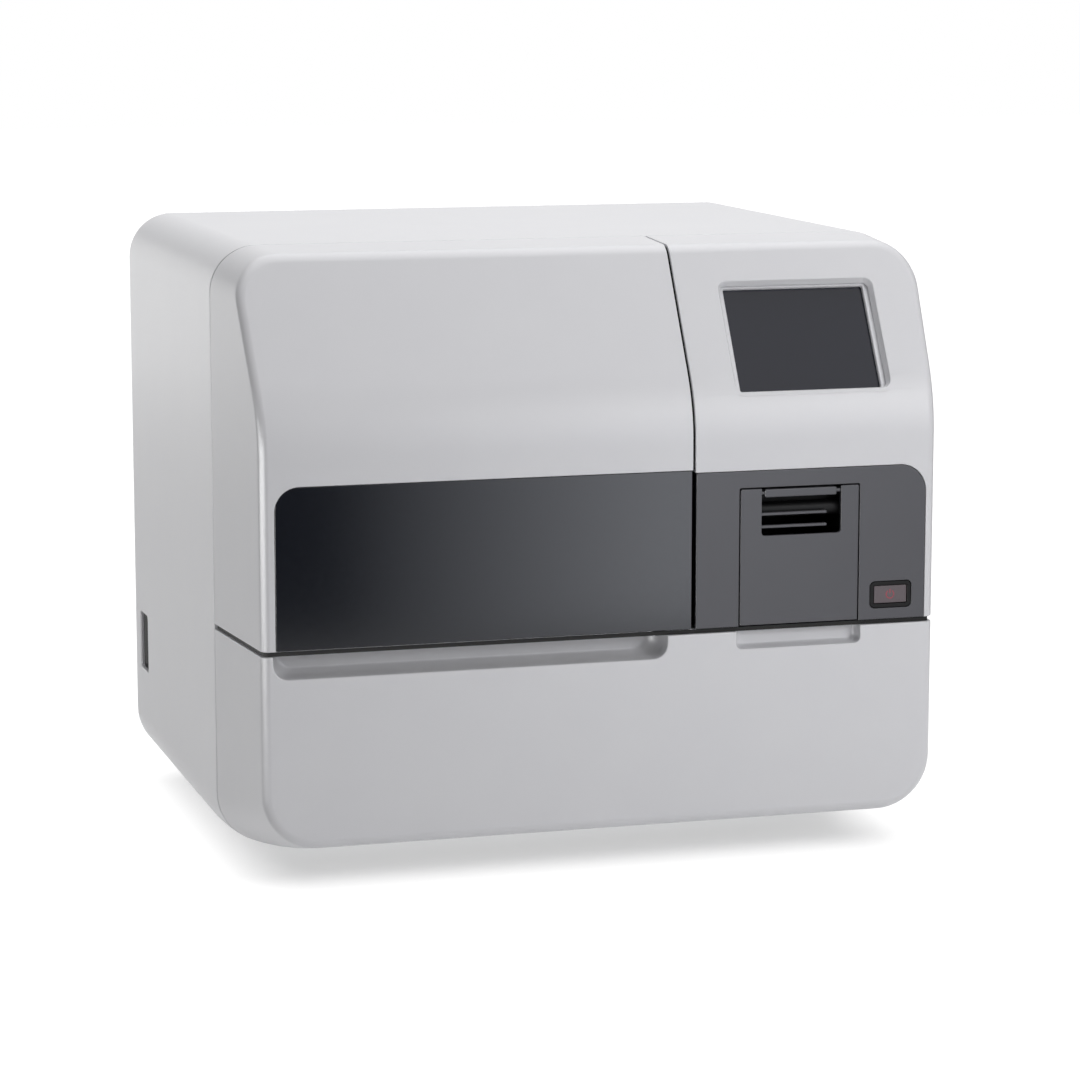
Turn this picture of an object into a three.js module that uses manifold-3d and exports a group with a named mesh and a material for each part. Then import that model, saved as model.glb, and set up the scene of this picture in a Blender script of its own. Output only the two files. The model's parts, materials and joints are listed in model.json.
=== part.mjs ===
// A benchtop coagulation analyzer as an assembly of separate pieces.
// Millimetres, +Z up. The origin is on the table, under the middle of the body, and the front faces -Y.
// Most pieces are cut from simple forms with manifold-3d, because covers and blocks have openings.

import * as THREE from 'three';
import { mergeVertices } from 'three/addons/utils/BufferGeometryUtils.js';
import Module from 'manifold-3d';

const wasm = await Module();
wasm.setup();

// Body
const bodyWidth = 566;
const bodyDepth = 490;
const bodyHeight = 480;
const footHeight = 10;
const wall = 3;
const roofRadius = 37;
const keelRadius = 43;
const gap = 0.3;
const overrun = 6;

// Front covers: how deep they are, how the face leans back and how the chin rises
const frontDepth = 127;
const faceTaper = 11.5;
const roofDrop = 3;
const lean = 73;
const bendDrop = 123.6;
const bendHalf = 27;
const rimRadius = 9;
const chinRun = 184;
const chinRise = 27;
const chinPowerShare = 1.6;
const flankShares = [0.3, 0.65];
const upperHeight = 299;
const rightPanelWidth = 212;
const coverSeam = 2;
const frontSeam = 4;
const flangeDepth = 15;
const flangeStop = 3;
const seamLip = 8;

// Smoked window and the frame behind it
const windowSize = { margin: 22, lift: 1.5, height: 123.5, radius: 19, thick: 3 };
const innerFrame = { bar: 16, grow: 1, rise: 12, thick: 4, radius: 8 };

// Finger recesses in the top edge of the lower cover
const grip = { margin: 20, right: 21, height: 18, depth: 22, radius: 13, ledge: 38 };
const doorRelief = { height: 14, depth: 12, radius: 5, overhang: 2 };

// Right front panel and its display
const display = { fromSide: 113.5, lift: 224.5, width: 128, height: 98, depth: 7, radius: 7 };
const touchGlass = { width: 115, height: 87, lap: 1.5, thick: 2 };
const displayCase = { grow: 4, thick: 14 };

// Dark panel with the printer door and the power button
const darkPanel = { margin: 19, height: 123, radius: 22, thick: 3 };
const door = { inset: 36.5, width: 99.5, height: 109, thick: 3, cheek: 3, cheekDepth: 17, cheekTop: 12 };
const doorHinge = { back: 7, lift: 6.5, pinRadius: 2, ear: 3.8 };
const paperSlot = { inset: 18, width: 66, height: 30, top: 8 };
const guideRib = { count: 2, drop: 12, pitch: 10, height: 2.2, lap: 1.5, proud: 2.5, back: 2 };
const lever = { inset: 19.5, width: 61.5, height: 6.7, thick: 5, pivotRise: 1.5, axleRadius: 1.5 };
const platen = { radius: 6, shaftRadius: 2.5, back: 13, fromTop: 19, endGap: 5 };
const printer = { side: 2.5, front: 21, depth: 84, height: 104, lift: 1, floor: 3, headDeep: 6, headTall: 14 };
const printerShelf = { ahead: 10, flange: 24 };
const paperRoll = { radius: 23, width: 58, hole: 6, back: 62 };
const button = {
  width: 34.6, height: 21, rim: 3, side: 11.4, lift: 9, depth: 12, sunk: 0.8, long: 8, radius: 4,
};
const buttonTravel = 2.5;
const buttonSwitch = { width: 30, height: 17, depth: 18 };

// Base, feet and inner walls
const base = { thick: 3, lip: 2, lift: 0.7, rearGap: 0.7 };
const foot = { radius: 15, fromSide: 78, fromFront: 205, fromRear: 40 };
const partition = { thick: 2, inset: 15.5, frontInset: 45, roofGap: 18, chinGap: 6 };
const support = { thick: 2, inset: 45, flange: 14 };
const deck = { thick: 3, lift: 14, frontInset: 20, left: 17, skirt: 17.7, behind: 35 };
const chute = { x: 90, width: 36, fromBack: 50, depth: 34 };
const backWall = { thick: 2, fromSeam: 178, above: 14.5 };

// Hinge of the light shield cover
const hinge = { behind: 20, below: 8, pinRadius: 3, earRadius: 4.5 };
const arm = {
  thick: 4, neck: 4.5, hollowDown: 22, barDown: 30, hollowAhead: 22.5, limb: 10, foot: 34, footTall: 6,
};
const armPlaces = { fromLeft: 40, fromSeam: 24 };
const bracket = { thick: 3, deep: 18, rise: 12 };
const beam = { ahead: 8, deep: 20, below: 27, tall: 15, thick: 2, leg: 20, left: 6 };

// Cross travel of the sampling arm
const rail = { below: 80.7, tall: 14, deep: 12, left: 12, right: 8 };
const carriage = { width: 44, deep: 20, below: 9, lip: 6, home: 41, lipDeep: 9 };
const beltDrive = {
  radius: 8, lift: 18, belt: 1.5, width: 6, pulleyWidth: 10, shaftRadius: 3, inset: 12, stand: 4,
};
const motor = { side: 42, long: 38 };
const yArm = { width: 24, tall: 20, reach: 185, below: 3 };
const probeUnit = { deep: 30, tall: 22, plate: 9, down: 12, homeInset: 35 };
const probeSlider = { width: 14, deep: 16, tall: 93, below: 50 };
const probe = { radius: 1.2, tip: 77, collar: 4, collarTall: 8 };
const catcher = { width: 13, deep: 14, below: 40, tall: 83, finger: 4, fingerTall: 38, mouth: 5 };

// What stands on the deck
const rack = {
  deep: 25, tall: 58, pitch: 21, margin: 15, holeRadius: 8, floor: 6, front: 10, left: 108, right: 9.7,
};
const reagent = { deep: 52, tall: 46, pitch: 42, margin: 24, holeRadius: 15, floor: 8, behind: 16 };
const tray = { beside: 16, deep: 78, tall: 30, rim: 3, floor: 3, behind: 14 };
const detector = { deep: 40, tall: 50, pitch: 17, margin: 11, holeRadius: 5, floor: 10 };
const detectorLengthShare = 0.3364;
const rinseCup = { radius: 12, holeRadius: 7, tall: 40, floor: 6 };
const usedBox = { width: 110, deep: 96, below: 38, wall: 2, floor: 3 };

// Rear panel and what it carries
const rear = { thick: 2, inset: 4 };
const fan = { side: 80, thick: 25, fromSide: 120, below: 150, bore: 37, hub: 17, blades: 7, bladeThick: 2 };
const bladeTurn = 36;
const bladeDeepShare = 0.667;
const fanPost = { barTall: 5, long: 3, shaftRadius: 3 };
const vent = { count: 7, tall: 5, pitch: 10, bar: 4 };
const inlet = {
  width: 48, tall: 28, lip: 2, body: 27, bodyTall: 20, deep: 24, fromSide: 75, height: 58, pocket: 16,
};
const port = { width: 31, tall: 12, lip: 2, deep: 10, fromSide: 145, height: 58, pocket: 6, rim: 2 };
const nipples = {
  width: 60, tall: 26, lip: 2, radius: 4, bore: 2, deep: 12, pitch: 30, left: 110, height: 58,
};
const sideSlot = { fromRear: 25, width: 35, height: 50, lift: 84, deep: 12, wall: 2, radius: 4 };

// Electronics and pump
const supply = { tall: 60, left: 60, right: 110, behind: 46, fromRear: 22 };
const board = { thick: 1.6, post: 3, stand: 10, left: 70, right: 67.7, lift: 30, under: 28.5, inset: 8 };
const pump = { radius: 24, tall: 62, head: 40, headTall: 22, beside: 80 };

// Sides of the round forms
const roundSides = 24;
const smallSides = 12;
const holeSides = 8;
const cornerSteps = 6;
const rimSteps = 4;

// Places worked out from the sizes
const sideX = bodyWidth / 2;
const frontY = -bodyDepth / 2;
const rearY = bodyDepth / 2;
const floorZ = footHeight;
const roofZ = footHeight + bodyHeight;
const seamY = frontY + frontDepth;
const seamX = sideX - rightPanelWidth;
const seamZ = roofZ - upperHeight;
const bendZ = roofZ - bendDrop;
const chinStartY = frontY + chinRun;
const coverRight = seamX - coverSeam / 2;
const panelLeft = seamX + coverSeam / 2;
const coverBack = seamY - coverSeam / 2;
const housingFront = seamY + coverSeam / 2;
const upperLow = seamZ + frontSeam / 2;
const lowerTop = seamZ - frontSeam / 2;
const farOut = bodyWidth + bodyDepth;
const leanSlope = lean / (roofZ - bendZ);
const leanAngle = Math.atan(leanSlope);
const baseLow = floorZ + wall;
const baseTop = baseLow + base.thick;
const deckTop = upperLow + deck.lift + gap;
const backFace = seamY + backWall.fromSeam;
const rearInside = rearY - rear.inset - rear.thick;

// Materials
function finish(color, roughness, metalness) {
  return new THREE.MeshStandardMaterial({ color, roughness, metalness });
}
const finishes = {
  shell: finish(0xd9d9db, 0.45, 0),
  smoked: finish(0x15181d, 0.12, 0),
  darkPanel: finish(0x55565a, 0.4, 0),
  black: finish(0x141416, 0.5, 0),
  screen: finish(0x24272c, 0.15, 0),
  cap: finish(0x4a4346, 0.45, 0),
  rubber: finish(0x1d1d1e, 0.85, 0),
  sheet: finish(0xb9bcbf, 0.4, 0.8),
  steel: finish(0xc9ccd0, 0.25, 1),
  anodised: finish(0x9fa5ab, 0.35, 0.9),
  white: finish(0xf2f1ec, 0.6, 0),
  grey: finish(0x8a8d91, 0.55, 0),
  paper: finish(0xf6f5f0, 0.9, 0),
  green: finish(0x1f5a3c, 0.5, 0),
};

// Geometry helpers
function toSolid(geometry) {
  const bare = geometry.clone();
  bare.deleteAttribute('normal');
  bare.deleteAttribute('uv');
  const merged = mergeVertices(bare);
  const vertProperties = new Float32Array(merged.attributes.position.array);
  const triVerts = new Uint32Array(merged.index.array);
  return new wasm.Manifold(new wasm.Mesh({ numProp: 3, vertProperties, triVerts }));
}

function toGeometry(solid) {
  const raw = solid.getMesh();
  const geometry = new THREE.BufferGeometry();
  geometry.setAttribute('position', new THREE.BufferAttribute(raw.vertProperties, raw.numProp));
  geometry.setIndex(new THREE.BufferAttribute(raw.triVerts, 1));
  geometry.computeVertexNormals();
  return geometry;
}

function block([x0, x1], [y0, y1], [z0, z1]) {
  const geometry = new THREE.BoxGeometry(x1 - x0, y1 - y0, z1 - z0);
  geometry.translate((x0 + x1) / 2, (y0 + y1) / 2, (z0 + z1) / 2);
  return toSolid(geometry);
}

function around(middle, size) {
  return [middle - size / 2, middle + size / 2];
}

// A round bar along an axis: from and to are places on that axis, a and b the other two in X, Y, Z order.
function rod(axis, from, to, a, b, radius, sides = roundSides) {
  const geometry = new THREE.CylinderGeometry(radius, radius, to - from, sides);
  const middle = (from + to) / 2;
  if (axis === 'x') geometry.rotateZ(Math.PI / 2).translate(middle, a, b);
  if (axis === 'y') geometry.translate(a, middle, b);
  if (axis === 'z') geometry.rotateX(Math.PI / 2).translate(a, b, middle);
  return toSolid(geometry);
}

// An outline pushed along an axis. Along X it is drawn in Y and Z, along Y in X and Z, along Z in X and Y.
function pushed(shape, axis, from, to) {
  const geometry = new THREE.ExtrudeGeometry(shape, {
    depth: to - from, bevelEnabled: false, curveSegments: cornerSteps,
  });
  const turn = new THREE.Matrix4();
  const [ux, uy, uz] = [new THREE.Vector3(1, 0, 0), new THREE.Vector3(0, 1, 0), new THREE.Vector3(0, 0, 1)];
  if (axis === 'x') turn.makeBasis(uy, uz, ux).setPosition(from, 0, 0);
  if (axis === 'y') turn.makeBasis(ux, uz, uy.negate()).setPosition(0, to, 0);
  if (axis === 'z') turn.setPosition(0, 0, from);
  geometry.applyMatrix4(turn);
  return toSolid(geometry);
}

function outline(points) {
  return new THREE.Shape(points.map(([u, v]) => new THREE.Vector2(u, v)));
}

function rounded([u0, u1], [v0, v1], [lowLeft, lowRight, topRight, topLeft]) {
  const shape = new THREE.Shape();
  const quarter = Math.PI / 2;
  shape.moveTo(u0 + lowLeft, v0);
  shape.lineTo(u1 - lowRight, v0);
  if (lowRight) shape.absarc(u1 - lowRight, v0 + lowRight, lowRight, -quarter, 0);
  shape.lineTo(u1, v1 - topRight);
  if (topRight) shape.absarc(u1 - topRight, v1 - topRight, topRight, 0, quarter);
  shape.lineTo(u0 + topLeft, v1);
  if (topLeft) shape.absarc(u0 + topLeft, v1 - topLeft, topLeft, quarter, 2 * quarter);
  shape.lineTo(u0, v0 + lowLeft);
  if (lowLeft) shape.absarc(u0 + lowLeft, v0 + lowLeft, lowLeft, 2 * quarter, 3 * quarter);
  return shape;
}

function evenly(radius) {
  return [radius, radius, radius, radius];
}

// The body's outside
// The face stands upright, bends over a parabola and leans back to the roof.
function faceY(z) {
  const u = z - bendZ;
  if (u <= -bendHalf) return frontY;
  if (u >= bendHalf) return frontY + leanSlope * u;
  return frontY + (leanSlope * (u + bendHalf) ** 2) / (4 * bendHalf);
}

function keelZ(y) {
  const share = Math.max(chinStartY - y, 0) / (chinRun - rimRadius);
  return floorZ + chinRise * share ** chinPowerShare;
}

function roofAt(y) {
  const topEdgeY = faceY(roofZ);
  return roofZ - (roofDrop * Math.max(seamY - y, 0)) / (seamY - topEdgeY);
}

function halfWidthAt(y) {
  return sideX - (faceTaper * Math.max(seamY - y, 0)) / frontDepth;
}

// Half a ring of the body, from the keel up the left side to the roof, skin deep under the surface.
function halfRing(yOf, inset) {
  const low = keelZ(yOf(floorZ)) + inset;
  const top = roofAt(yOf(roofZ)) - inset;
  const lowRadius = Math.max(keelRadius - inset, wall);
  const topRadius = Math.max(roofRadius - inset, wall);
  const points = [];
  const put = (cut, z) => {
    const y = yOf(z);
    points.push([-(halfWidthAt(y) - inset - cut), y, z]);
  };
  for (let step = 0; step <= cornerSteps; step += 1) {
    const angle = (step / cornerSteps) * (Math.PI / 2);
    put(lowRadius * (1 - Math.sin(angle)), low + lowRadius * (1 - Math.cos(angle)));
  }
  for (const share of [-1, -0.5, 0, 0.5, 1]) put(0, bendZ + share * bendHalf);
  for (let step = cornerSteps; step >= 0; step -= 1) {
    const angle = (step / cornerSteps) * (Math.PI / 2);
    put(topRadius * (1 - Math.sin(angle)), top - topRadius * (1 - Math.cos(angle)));
  }
  return points;
}

// The whole body as one closed form. With a skin it is the hollow that lies that deep under the surface.
function bodyForm(skin) {
  const halves = [];
  const rim = Math.max(rimRadius - skin, wall);
  for (let step = 0; step <= rimSteps; step += 1) {
    const angle = (step / rimSteps) * (Math.PI / 2);
    const back = rim * (1 - Math.cos(angle));
    halves.push(halfRing((z) => faceY(z) + skin + back, skin + rim * (1 - Math.sin(angle))));
  }
  for (const share of flankShares) {
    halves.push(halfRing((z) => THREE.MathUtils.lerp(faceY(z) + skin + rim, seamY, share), skin));
  }
  const end = skin > 0 ? rearY + overrun : rearY;
  for (const y of [seamY, chinStartY, end]) halves.push(halfRing(() => y, skin));

  const count = halves[0].length;
  const positions = [];
  const faces = [];
  for (const half of halves) {
    for (const [x, y, z] of half) positions.push(x, y, z);
    for (const [x, y, z] of half) positions.push(-x, y, z);
  }
  const quad = (a, b, c, d) => faces.push(a, b, c, a, c, d);
  for (let ring = 0; ring + 1 < halves.length; ring += 1) {
    const here = ring * 2 * count;
    const next = here + 2 * count;
    for (let i = 0; i + 1 < count; i += 1) {
      quad(here + i, here + i + 1, next + i + 1, next + i);
      quad(next + count + i, next + count + i + 1, here + count + i + 1, here + count + i);
    }
    const last = count - 1;
    quad(here + last, here + count + last, next + count + last, next + last);
    quad(next, next + count, here + count, here);
  }
  const back = (halves.length - 1) * 2 * count;
  for (let i = 0; i + 1 < count; i += 1) {
    quad(i, i + count, i + 1 + count, i + 1);
    quad(back + i + 1, back + i + 1 + count, back + i + count, back + i);
  }
  const geometry = new THREE.BufferGeometry();
  geometry.setAttribute('position', new THREE.Float32BufferAttribute(positions, 3));
  geometry.setIndex(faces);
  return toSolid(geometry);
}

const everyX = [-farOut, farOut];
const everyY = [-farOut, farOut];
const bodySolid = bodyForm(0);
const bodyHollow = bodyForm(wall);

// The body's wall within a zone, with some solids left standing in the hollow behind it.
function coverOf(zone, standing = []) {
  const hollow = standing.reduce((left, solid) => left.subtract(solid), bodyHollow);
  return bodySolid.intersect(zone).subtract(hollow);
}

const analyzer = new THREE.Group();

function add(name, solid, material) {
  const mesh = new THREE.Mesh(toGeometry(solid), material);
  mesh.name = name;
  analyzer.add(mesh);
}

// Main housing: both sides and the roof in one, open below, in front and behind
const slotY = [rearY - sideSlot.fromRear - sideSlot.width, rearY - sideSlot.fromRear];
const slotZ = [floorZ + sideSlot.lift, floorZ + sideSlot.lift + sideSlot.height];
const mouthX = sideX - keelRadius - base.lip;

function mainHousing() {
  const lipZs = [floorZ + keelRadius, farOut];
  const lipFront = coverBack + gap;
  const lip = block(everyX, [lipFront, housingFront + seamLip], lipZs).subtract(bodyForm(2 * wall));
  const behindSeam = bodyForm(wall + gap).intersect(block(everyX, [lipFront, farOut], lipZs));
  const zone = block(everyX, [housingFront, farOut], [-farOut, farOut]).add(behindSeam);
  const mouth = block([-mouthX, mouthX], everyY, [-farOut, floorZ + wall + chinRise / 2]);
  const slotShape = rounded(slotY, slotZ, evenly(sideSlot.radius));
  const slot = pushed(slotShape, 'x', -sideX - overrun, -sideX + wall + overrun);
  return coverOf(zone, [lip]).subtract(mouth).subtract(slot);
}
add('main_housing', mainHousing(), finishes.shell);

// A dark cup behind the slot in the left side
function sideCup() {
  const outside = -sideX + wall + gap;
  const inside = outside + sideSlot.deep;
  const grow = sideSlot.wall;
  const ys = [slotY[0] - grow, slotY[1] + grow];
  const cup = block([outside, inside], ys, [slotZ[0] - grow, slotZ[1] + grow]);
  return cup.subtract(block([-sideX, inside - sideSlot.wall], slotY, slotZ));
}
add('side_slot_cup', sideCup(), finishes.black);

// Lower front cover with its ledge and two recesses
const gripX = [-sideX + grip.margin, seamX - grip.right];
const doorLeft = panelLeft + door.inset;
const doorRight = doorLeft + door.width;
const reliefX = [doorLeft - doorRelief.overhang, doorRight + doorRelief.overhang];

function recess(xs, size, grow) {
  const low = lowerTop - size.height - grow;
  const corner = size.radius + grow;
  const shape = rounded([xs[0] - grow, xs[1] + grow], [low, lowerTop + overrun], [corner, corner, 0, 0]);
  return pushed(shape, 'y', frontY - overrun, frontY + size.depth + grow);
}

function lowerFrontCover() {
  const ahead = [-farOut, coverBack - gap];
  const lipTop = upperLow - gap;
  const behindSeam = bodyForm(wall + gap).intersect(block(everyX, ahead, [-farOut, lipTop]));
  const zone = block(everyX, [-farOut, housingFront - gap], [-farOut, lowerTop]).add(behindSeam);
  const ledge = block(everyX, ahead, [lowerTop - wall, lowerTop]).subtract(bodyForm(grip.ledge));
  const lip = block(everyX, ahead, [lowerTop - wall, farOut]).subtract(bodyForm(2 * wall));
  const linings = [recess(gripX, grip, wall), recess(reliefX, doorRelief, wall)]
    .map((lining) => lining.intersect(block(everyX, everyY, [-farOut, lowerTop])));
  return coverOf(zone, [ledge, lip, ...linings])
    .subtract(recess(gripX, grip, 0))
    .subtract(recess(reliefX, doorRelief, 0));
}
add('lower_front_cover', lowerFrontCover(), finishes.shell);

// Light shield cover: the lid over the sampling compartment
const windowLeft = -sideX + windowSize.margin;
const windowLow = upperLow + windowSize.lift;
const windowTop = windowLow + windowSize.height;

function edgeFlange(xs, low) {
  return block(xs, [-farOut, coverBack - flangeStop], [low, farOut]).subtract(bodyForm(flangeDepth));
}

function lightShieldCover() {
  const zone = block([-farOut, coverRight], [-farOut, coverBack], [upperLow, farOut]);
  const notch = rounded([windowLeft, farOut], [-farOut, windowTop], [0, 0, 0, windowSize.radius]);
  const cut = pushed(notch, 'y', frontY - overrun, frontY + wall + gap);
  const flange = edgeFlange([coverRight - wall, coverRight + overrun], windowTop + innerFrame.rise + gap);
  return coverOf(zone, [flange]).subtract(cut);
}
add('light_shield_cover', lightShieldCover(), finishes.shell);

const windowPane = rounded(
  [windowLeft + gap, coverRight], [windowLow, windowTop - gap], [0, 0, 0, windowSize.radius - gap],
);
add('cover_window', pushed(windowPane, 'y', frontY, frontY + windowSize.thick), finishes.smoked);

function coverInnerFrame() {
  const xs = [windowLeft - innerFrame.grow, coverRight];
  const zs = [windowLow, windowTop + innerFrame.rise];
  const front = frontY + wall;
  const plate = pushed(rounded(xs, zs, evenly(0)), 'y', front, front + innerFrame.thick);
  const inner = rounded(
    [windowLeft + innerFrame.bar, coverRight - innerFrame.bar],
    [windowLow + innerFrame.bar, windowTop - innerFrame.bar],
    evenly(innerFrame.radius),
  );
  return plate.subtract(pushed(inner, 'y', front - overrun, front + innerFrame.thick + overrun));
}
add('cover_inner_frame', coverInnerFrame(), finishes.black);

// Cover hinge: goose-neck arms swing about pins that stand under the roof behind the cover
const hingeY = coverBack + hinge.behind + coverSeam / 2;
const hingeZ = roofZ - hinge.below;
const armMiddles = {
  left: -sideX + armPlaces.fromLeft,
  right: seamX - armPlaces.fromSeam,
};
const beamFront = hingeY + beam.ahead;
const beamTop = hingeZ - beam.below;

function hingeArm(middle) {
  const [x0, x1] = around(middle, arm.thick);
  const limbBack = hingeY - arm.hollowAhead;
  const limbFront = limbBack - arm.limb;
  const footFront = limbBack - arm.foot;
  const under = wall + gap;
  const shape = outline([
    [hingeY + arm.neck, hingeZ],
    [hingeY - arm.neck, hingeZ],
    [hingeY - arm.neck, hingeZ - arm.hollowDown],
    [limbBack, hingeZ - arm.hollowDown],
    [limbBack, roofAt(limbBack) - under],
    [footFront, roofAt(footFront) - under],
    [footFront, roofAt(footFront) - under - arm.footTall],
    [limbFront, hingeZ - arm.hollowDown / 2],
    [limbFront, hingeZ - arm.barDown],
    [hingeY + arm.neck, hingeZ - arm.barDown],
  ]);
  const ear = rod('x', x0, x1, hingeY, hingeZ, hinge.earRadius, roundSides);
  const bore = rod('x', x0 - overrun, x1 + overrun, hingeY, hingeZ, hinge.pinRadius + gap, roundSides);
  return pushed(shape, 'x', x0, x1).add(ear).subtract(bore);
}

function hingeBracket(middle, side) {
  const inner = middle + side * (arm.thick / 2 + gap);
  const outer = inner + side * bracket.thick;
  const xs = [Math.min(inner, outer), Math.max(inner, outer)];
  const shape = outline([
    [hingeY - hinge.earRadius, hingeZ],
    [beamFront + gap, beamTop],
    [beamFront + bracket.deep, beamTop],
    [beamFront + bracket.deep, beamTop + bracket.rise],
    [hingeY, hingeZ + hinge.earRadius],
  ]);
  const ear = rod('x', xs[0], xs[1], hingeY, hingeZ, hinge.earRadius, roundSides);
  const pinEnd = middle - side * (arm.thick / 2);
  const pinXs = [Math.min(pinEnd, inner + side), Math.max(pinEnd, inner + side)];
  const pin = rod('x', pinXs[0], pinXs[1], hingeY, hingeZ, hinge.pinRadius, roundSides);
  return pushed(shape, 'x', xs[0], xs[1]).add(ear).add(pin);
}

for (const [side, direction] of [['left', -1], ['right', 1]]) {
  add(`hinge_arm_${side}`, hingeArm(armMiddles[side]), finishes.steel);
  add(`hinge_bracket_${side}`, hingeBracket(armMiddles[side], direction), finishes.sheet);
}

// Frame that carries the hinge brackets: a channel across the compartment with a leg down to the deck
const deckLeft = -sideX + deck.left;

function hingeBeam() {
  const left = deckLeft + beam.left;
  const beamBack = beamFront + beam.deep;
  const low = beamTop - beam.tall;
  const hollow = block(
    [left + beam.thick, farOut],
    [beamFront + beam.thick, beamBack + overrun],
    [low - overrun, beamTop - beam.thick],
  );
  const channel = block([left, panelLeft - gap], [beamFront, beamBack], [low, beamTop]).subtract(hollow);
  const leg = block([left, left + beam.thick], [beamFront, beamFront + beam.leg], [deckTop, beamTop]);
  return channel.add(leg);
}
add('hinge_beam', hingeBeam(), finishes.sheet);

// Right front panel, with a shallow sunk frame for the display on the leaning part of the face
const displayX = sideX - display.fromSide;
const displayZ = seamZ + display.lift;
const displayY = frontY + leanSlope * (displayZ - bendZ);

// A box on the leaning face: width along X, height up the slope, from one depth under the face to another.
function onFace(width, height, nearDepth, farDepth, radius) {
  const shape = rounded(around(0, width), around(0, height), evenly(radius));
  const geometry = new THREE.ExtrudeGeometry(shape, {
    depth: farDepth - nearDepth, bevelEnabled: false, curveSegments: cornerSteps,
  });
  geometry.rotateX(Math.PI / 2);
  geometry.translate(0, farDepth, 0);
  geometry.rotateX(-leanAngle);
  geometry.translate(displayX, displayY, displayZ);
  return toSolid(geometry);
}

const darkRight = sideX - darkPanel.margin;
const darkTop = upperLow + darkPanel.height;

function rightFrontPanel() {
  const zone = block([panelLeft, farOut], [-farOut, coverBack], [upperLow, farOut]);
  const notch = rounded([-farOut, darkRight], [-farOut, darkTop], [0, 0, darkPanel.radius, 0]);
  const cut = pushed(notch, 'y', frontY - overrun, frontY + wall + gap);
  const flange = edgeFlange([panelLeft - overrun, panelLeft + wall], darkTop + gap);
  const lining = onFace(
    display.width + 2 * wall, display.height + 2 * wall, -overrun, display.depth + wall, display.radius + wall,
  );
  const sunk = onFace(display.width, display.height, -farOut, display.depth, display.radius);
  const glassHole = onFace(
    touchGlass.width - 2 * touchGlass.lap, touchGlass.height - 2 * touchGlass.lap,
    -overrun, display.depth + wall + overrun, touchGlass.lap,
  );
  return coverOf(zone, [flange, lining]).subtract(cut).subtract(sunk).subtract(glassHole);
}
add('right_front_panel', rightFrontPanel(), finishes.shell);

const glassDepth = display.depth + wall + gap;
const caseDepth = glassDepth + touchGlass.thick + gap;
add(
  'touch_glass',
  onFace(touchGlass.width, touchGlass.height, glassDepth, glassDepth + touchGlass.thick, touchGlass.lap),
  finishes.screen,
);
add(
  'lcd_module',
  onFace(
    touchGlass.width + displayCase.grow, touchGlass.height + displayCase.grow,
    caseDepth, caseDepth + displayCase.thick, touchGlass.lap,
  ),
  finishes.black,
);

// Dark panel around the printer door and the power button
const doorTop = upperLow + door.height;
const buttonRight = darkRight - button.side;
const buttonX = [buttonRight - button.width, buttonRight];
const buttonZ = [upperLow + button.lift, upperLow + button.lift + button.height];

function rightDarkPanel() {
  const xs = [panelLeft + gap, darkRight - gap];
  const shape = rounded(xs, [upperLow, darkTop - gap], [0, 0, darkPanel.radius - gap, 0]);
  const plate = pushed(shape, 'y', frontY, frontY + darkPanel.thick);
  const doorway = block(
    [doorLeft, doorRight], [frontY - overrun, frontY + wall + overrun], [-farOut, doorTop],
  );
  const hole = rounded(
    [buttonX[0] - gap, buttonX[1] + gap], [buttonZ[0] - gap, buttonZ[1] + gap], evenly(button.radius + gap),
  );
  return plate.subtract(doorway).subtract(pushed(hole, 'y', frontY - overrun, frontY + wall + overrun));
}
add('right_dark_panel', rightDarkPanel(), finishes.darkPanel);

// Printer door: a plate with a paper slot, cheeks inside it and two guide ribs across the slot
const seatGap = 2 * gap;
const doorX = [doorLeft + seatGap, doorRight - seatGap];
const doorZ = [upperLow + seatGap, doorTop - seatGap];
const doorPivotY = frontY + doorHinge.back;
const doorPivotZ = upperLow + doorHinge.lift;
const slotLeft = doorLeft + paperSlot.inset;
const slotX = [slotLeft, slotLeft + paperSlot.width];
const slotTop = doorTop - paperSlot.top;
const slotLow = slotTop - paperSlot.height;
const platenY = frontY + platen.back;
const platenZ = doorTop - platen.fromTop;
const cheekXs = [
  [doorX[0], doorX[0] + door.cheek],
  [doorX[1] - door.cheek, doorX[1]],
];
const leverZ = [slotTop + gap, slotTop + lever.height];
const leverPivotY = frontY + lever.thick / 2;
const leverPivotZ = leverZ[1] - lever.pivotRise - lever.axleRadius;

function printerDoor() {
  const slot = block(slotX, [frontY - overrun, frontY + door.thick + overrun], [slotLow, doorTop + overrun]);
  let solid = block(doorX, [frontY, frontY + door.thick], doorZ).subtract(slot);
  for (const xs of cheekXs) {
    const ys = [frontY + door.thick, frontY + door.cheekDepth];
    const cheek = block(xs, ys, [doorPivotZ, doorTop - door.cheekTop]);
    const knuckle = rod('x', xs[0], xs[1], doorPivotY, doorPivotZ, doorHinge.ear, smallSides);
    solid = solid.add(cheek).add(knuckle);
  }
  for (let index = 0; index < guideRib.count; index += 1) {
    const top = slotTop - guideRib.drop - index * guideRib.pitch;
    const xs = [slotX[0] - guideRib.lap, slotX[1] + guideRib.lap];
    const ys = [frontY + door.thick - guideRib.proud, frontY + door.thick + guideRib.back];
    solid = solid.add(block(xs, ys, [top - guideRib.height, top]));
  }
  const through = [doorX[0] - overrun, doorX[1] + overrun];
  const pinRadius = doorHinge.pinRadius + gap;
  const pinHole = rod('x', through[0], through[1], doorPivotY, doorPivotZ, pinRadius, smallSides);
  const shaftRadius = platen.shaftRadius + gap;
  const shaftHole = rod('x', through[0], through[1], platenY, platenZ, shaftRadius, smallSides);
  return solid.subtract(pinHole).subtract(shaftHole);
}
add('printer_door', printerDoor(), finishes.darkPanel);

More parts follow.
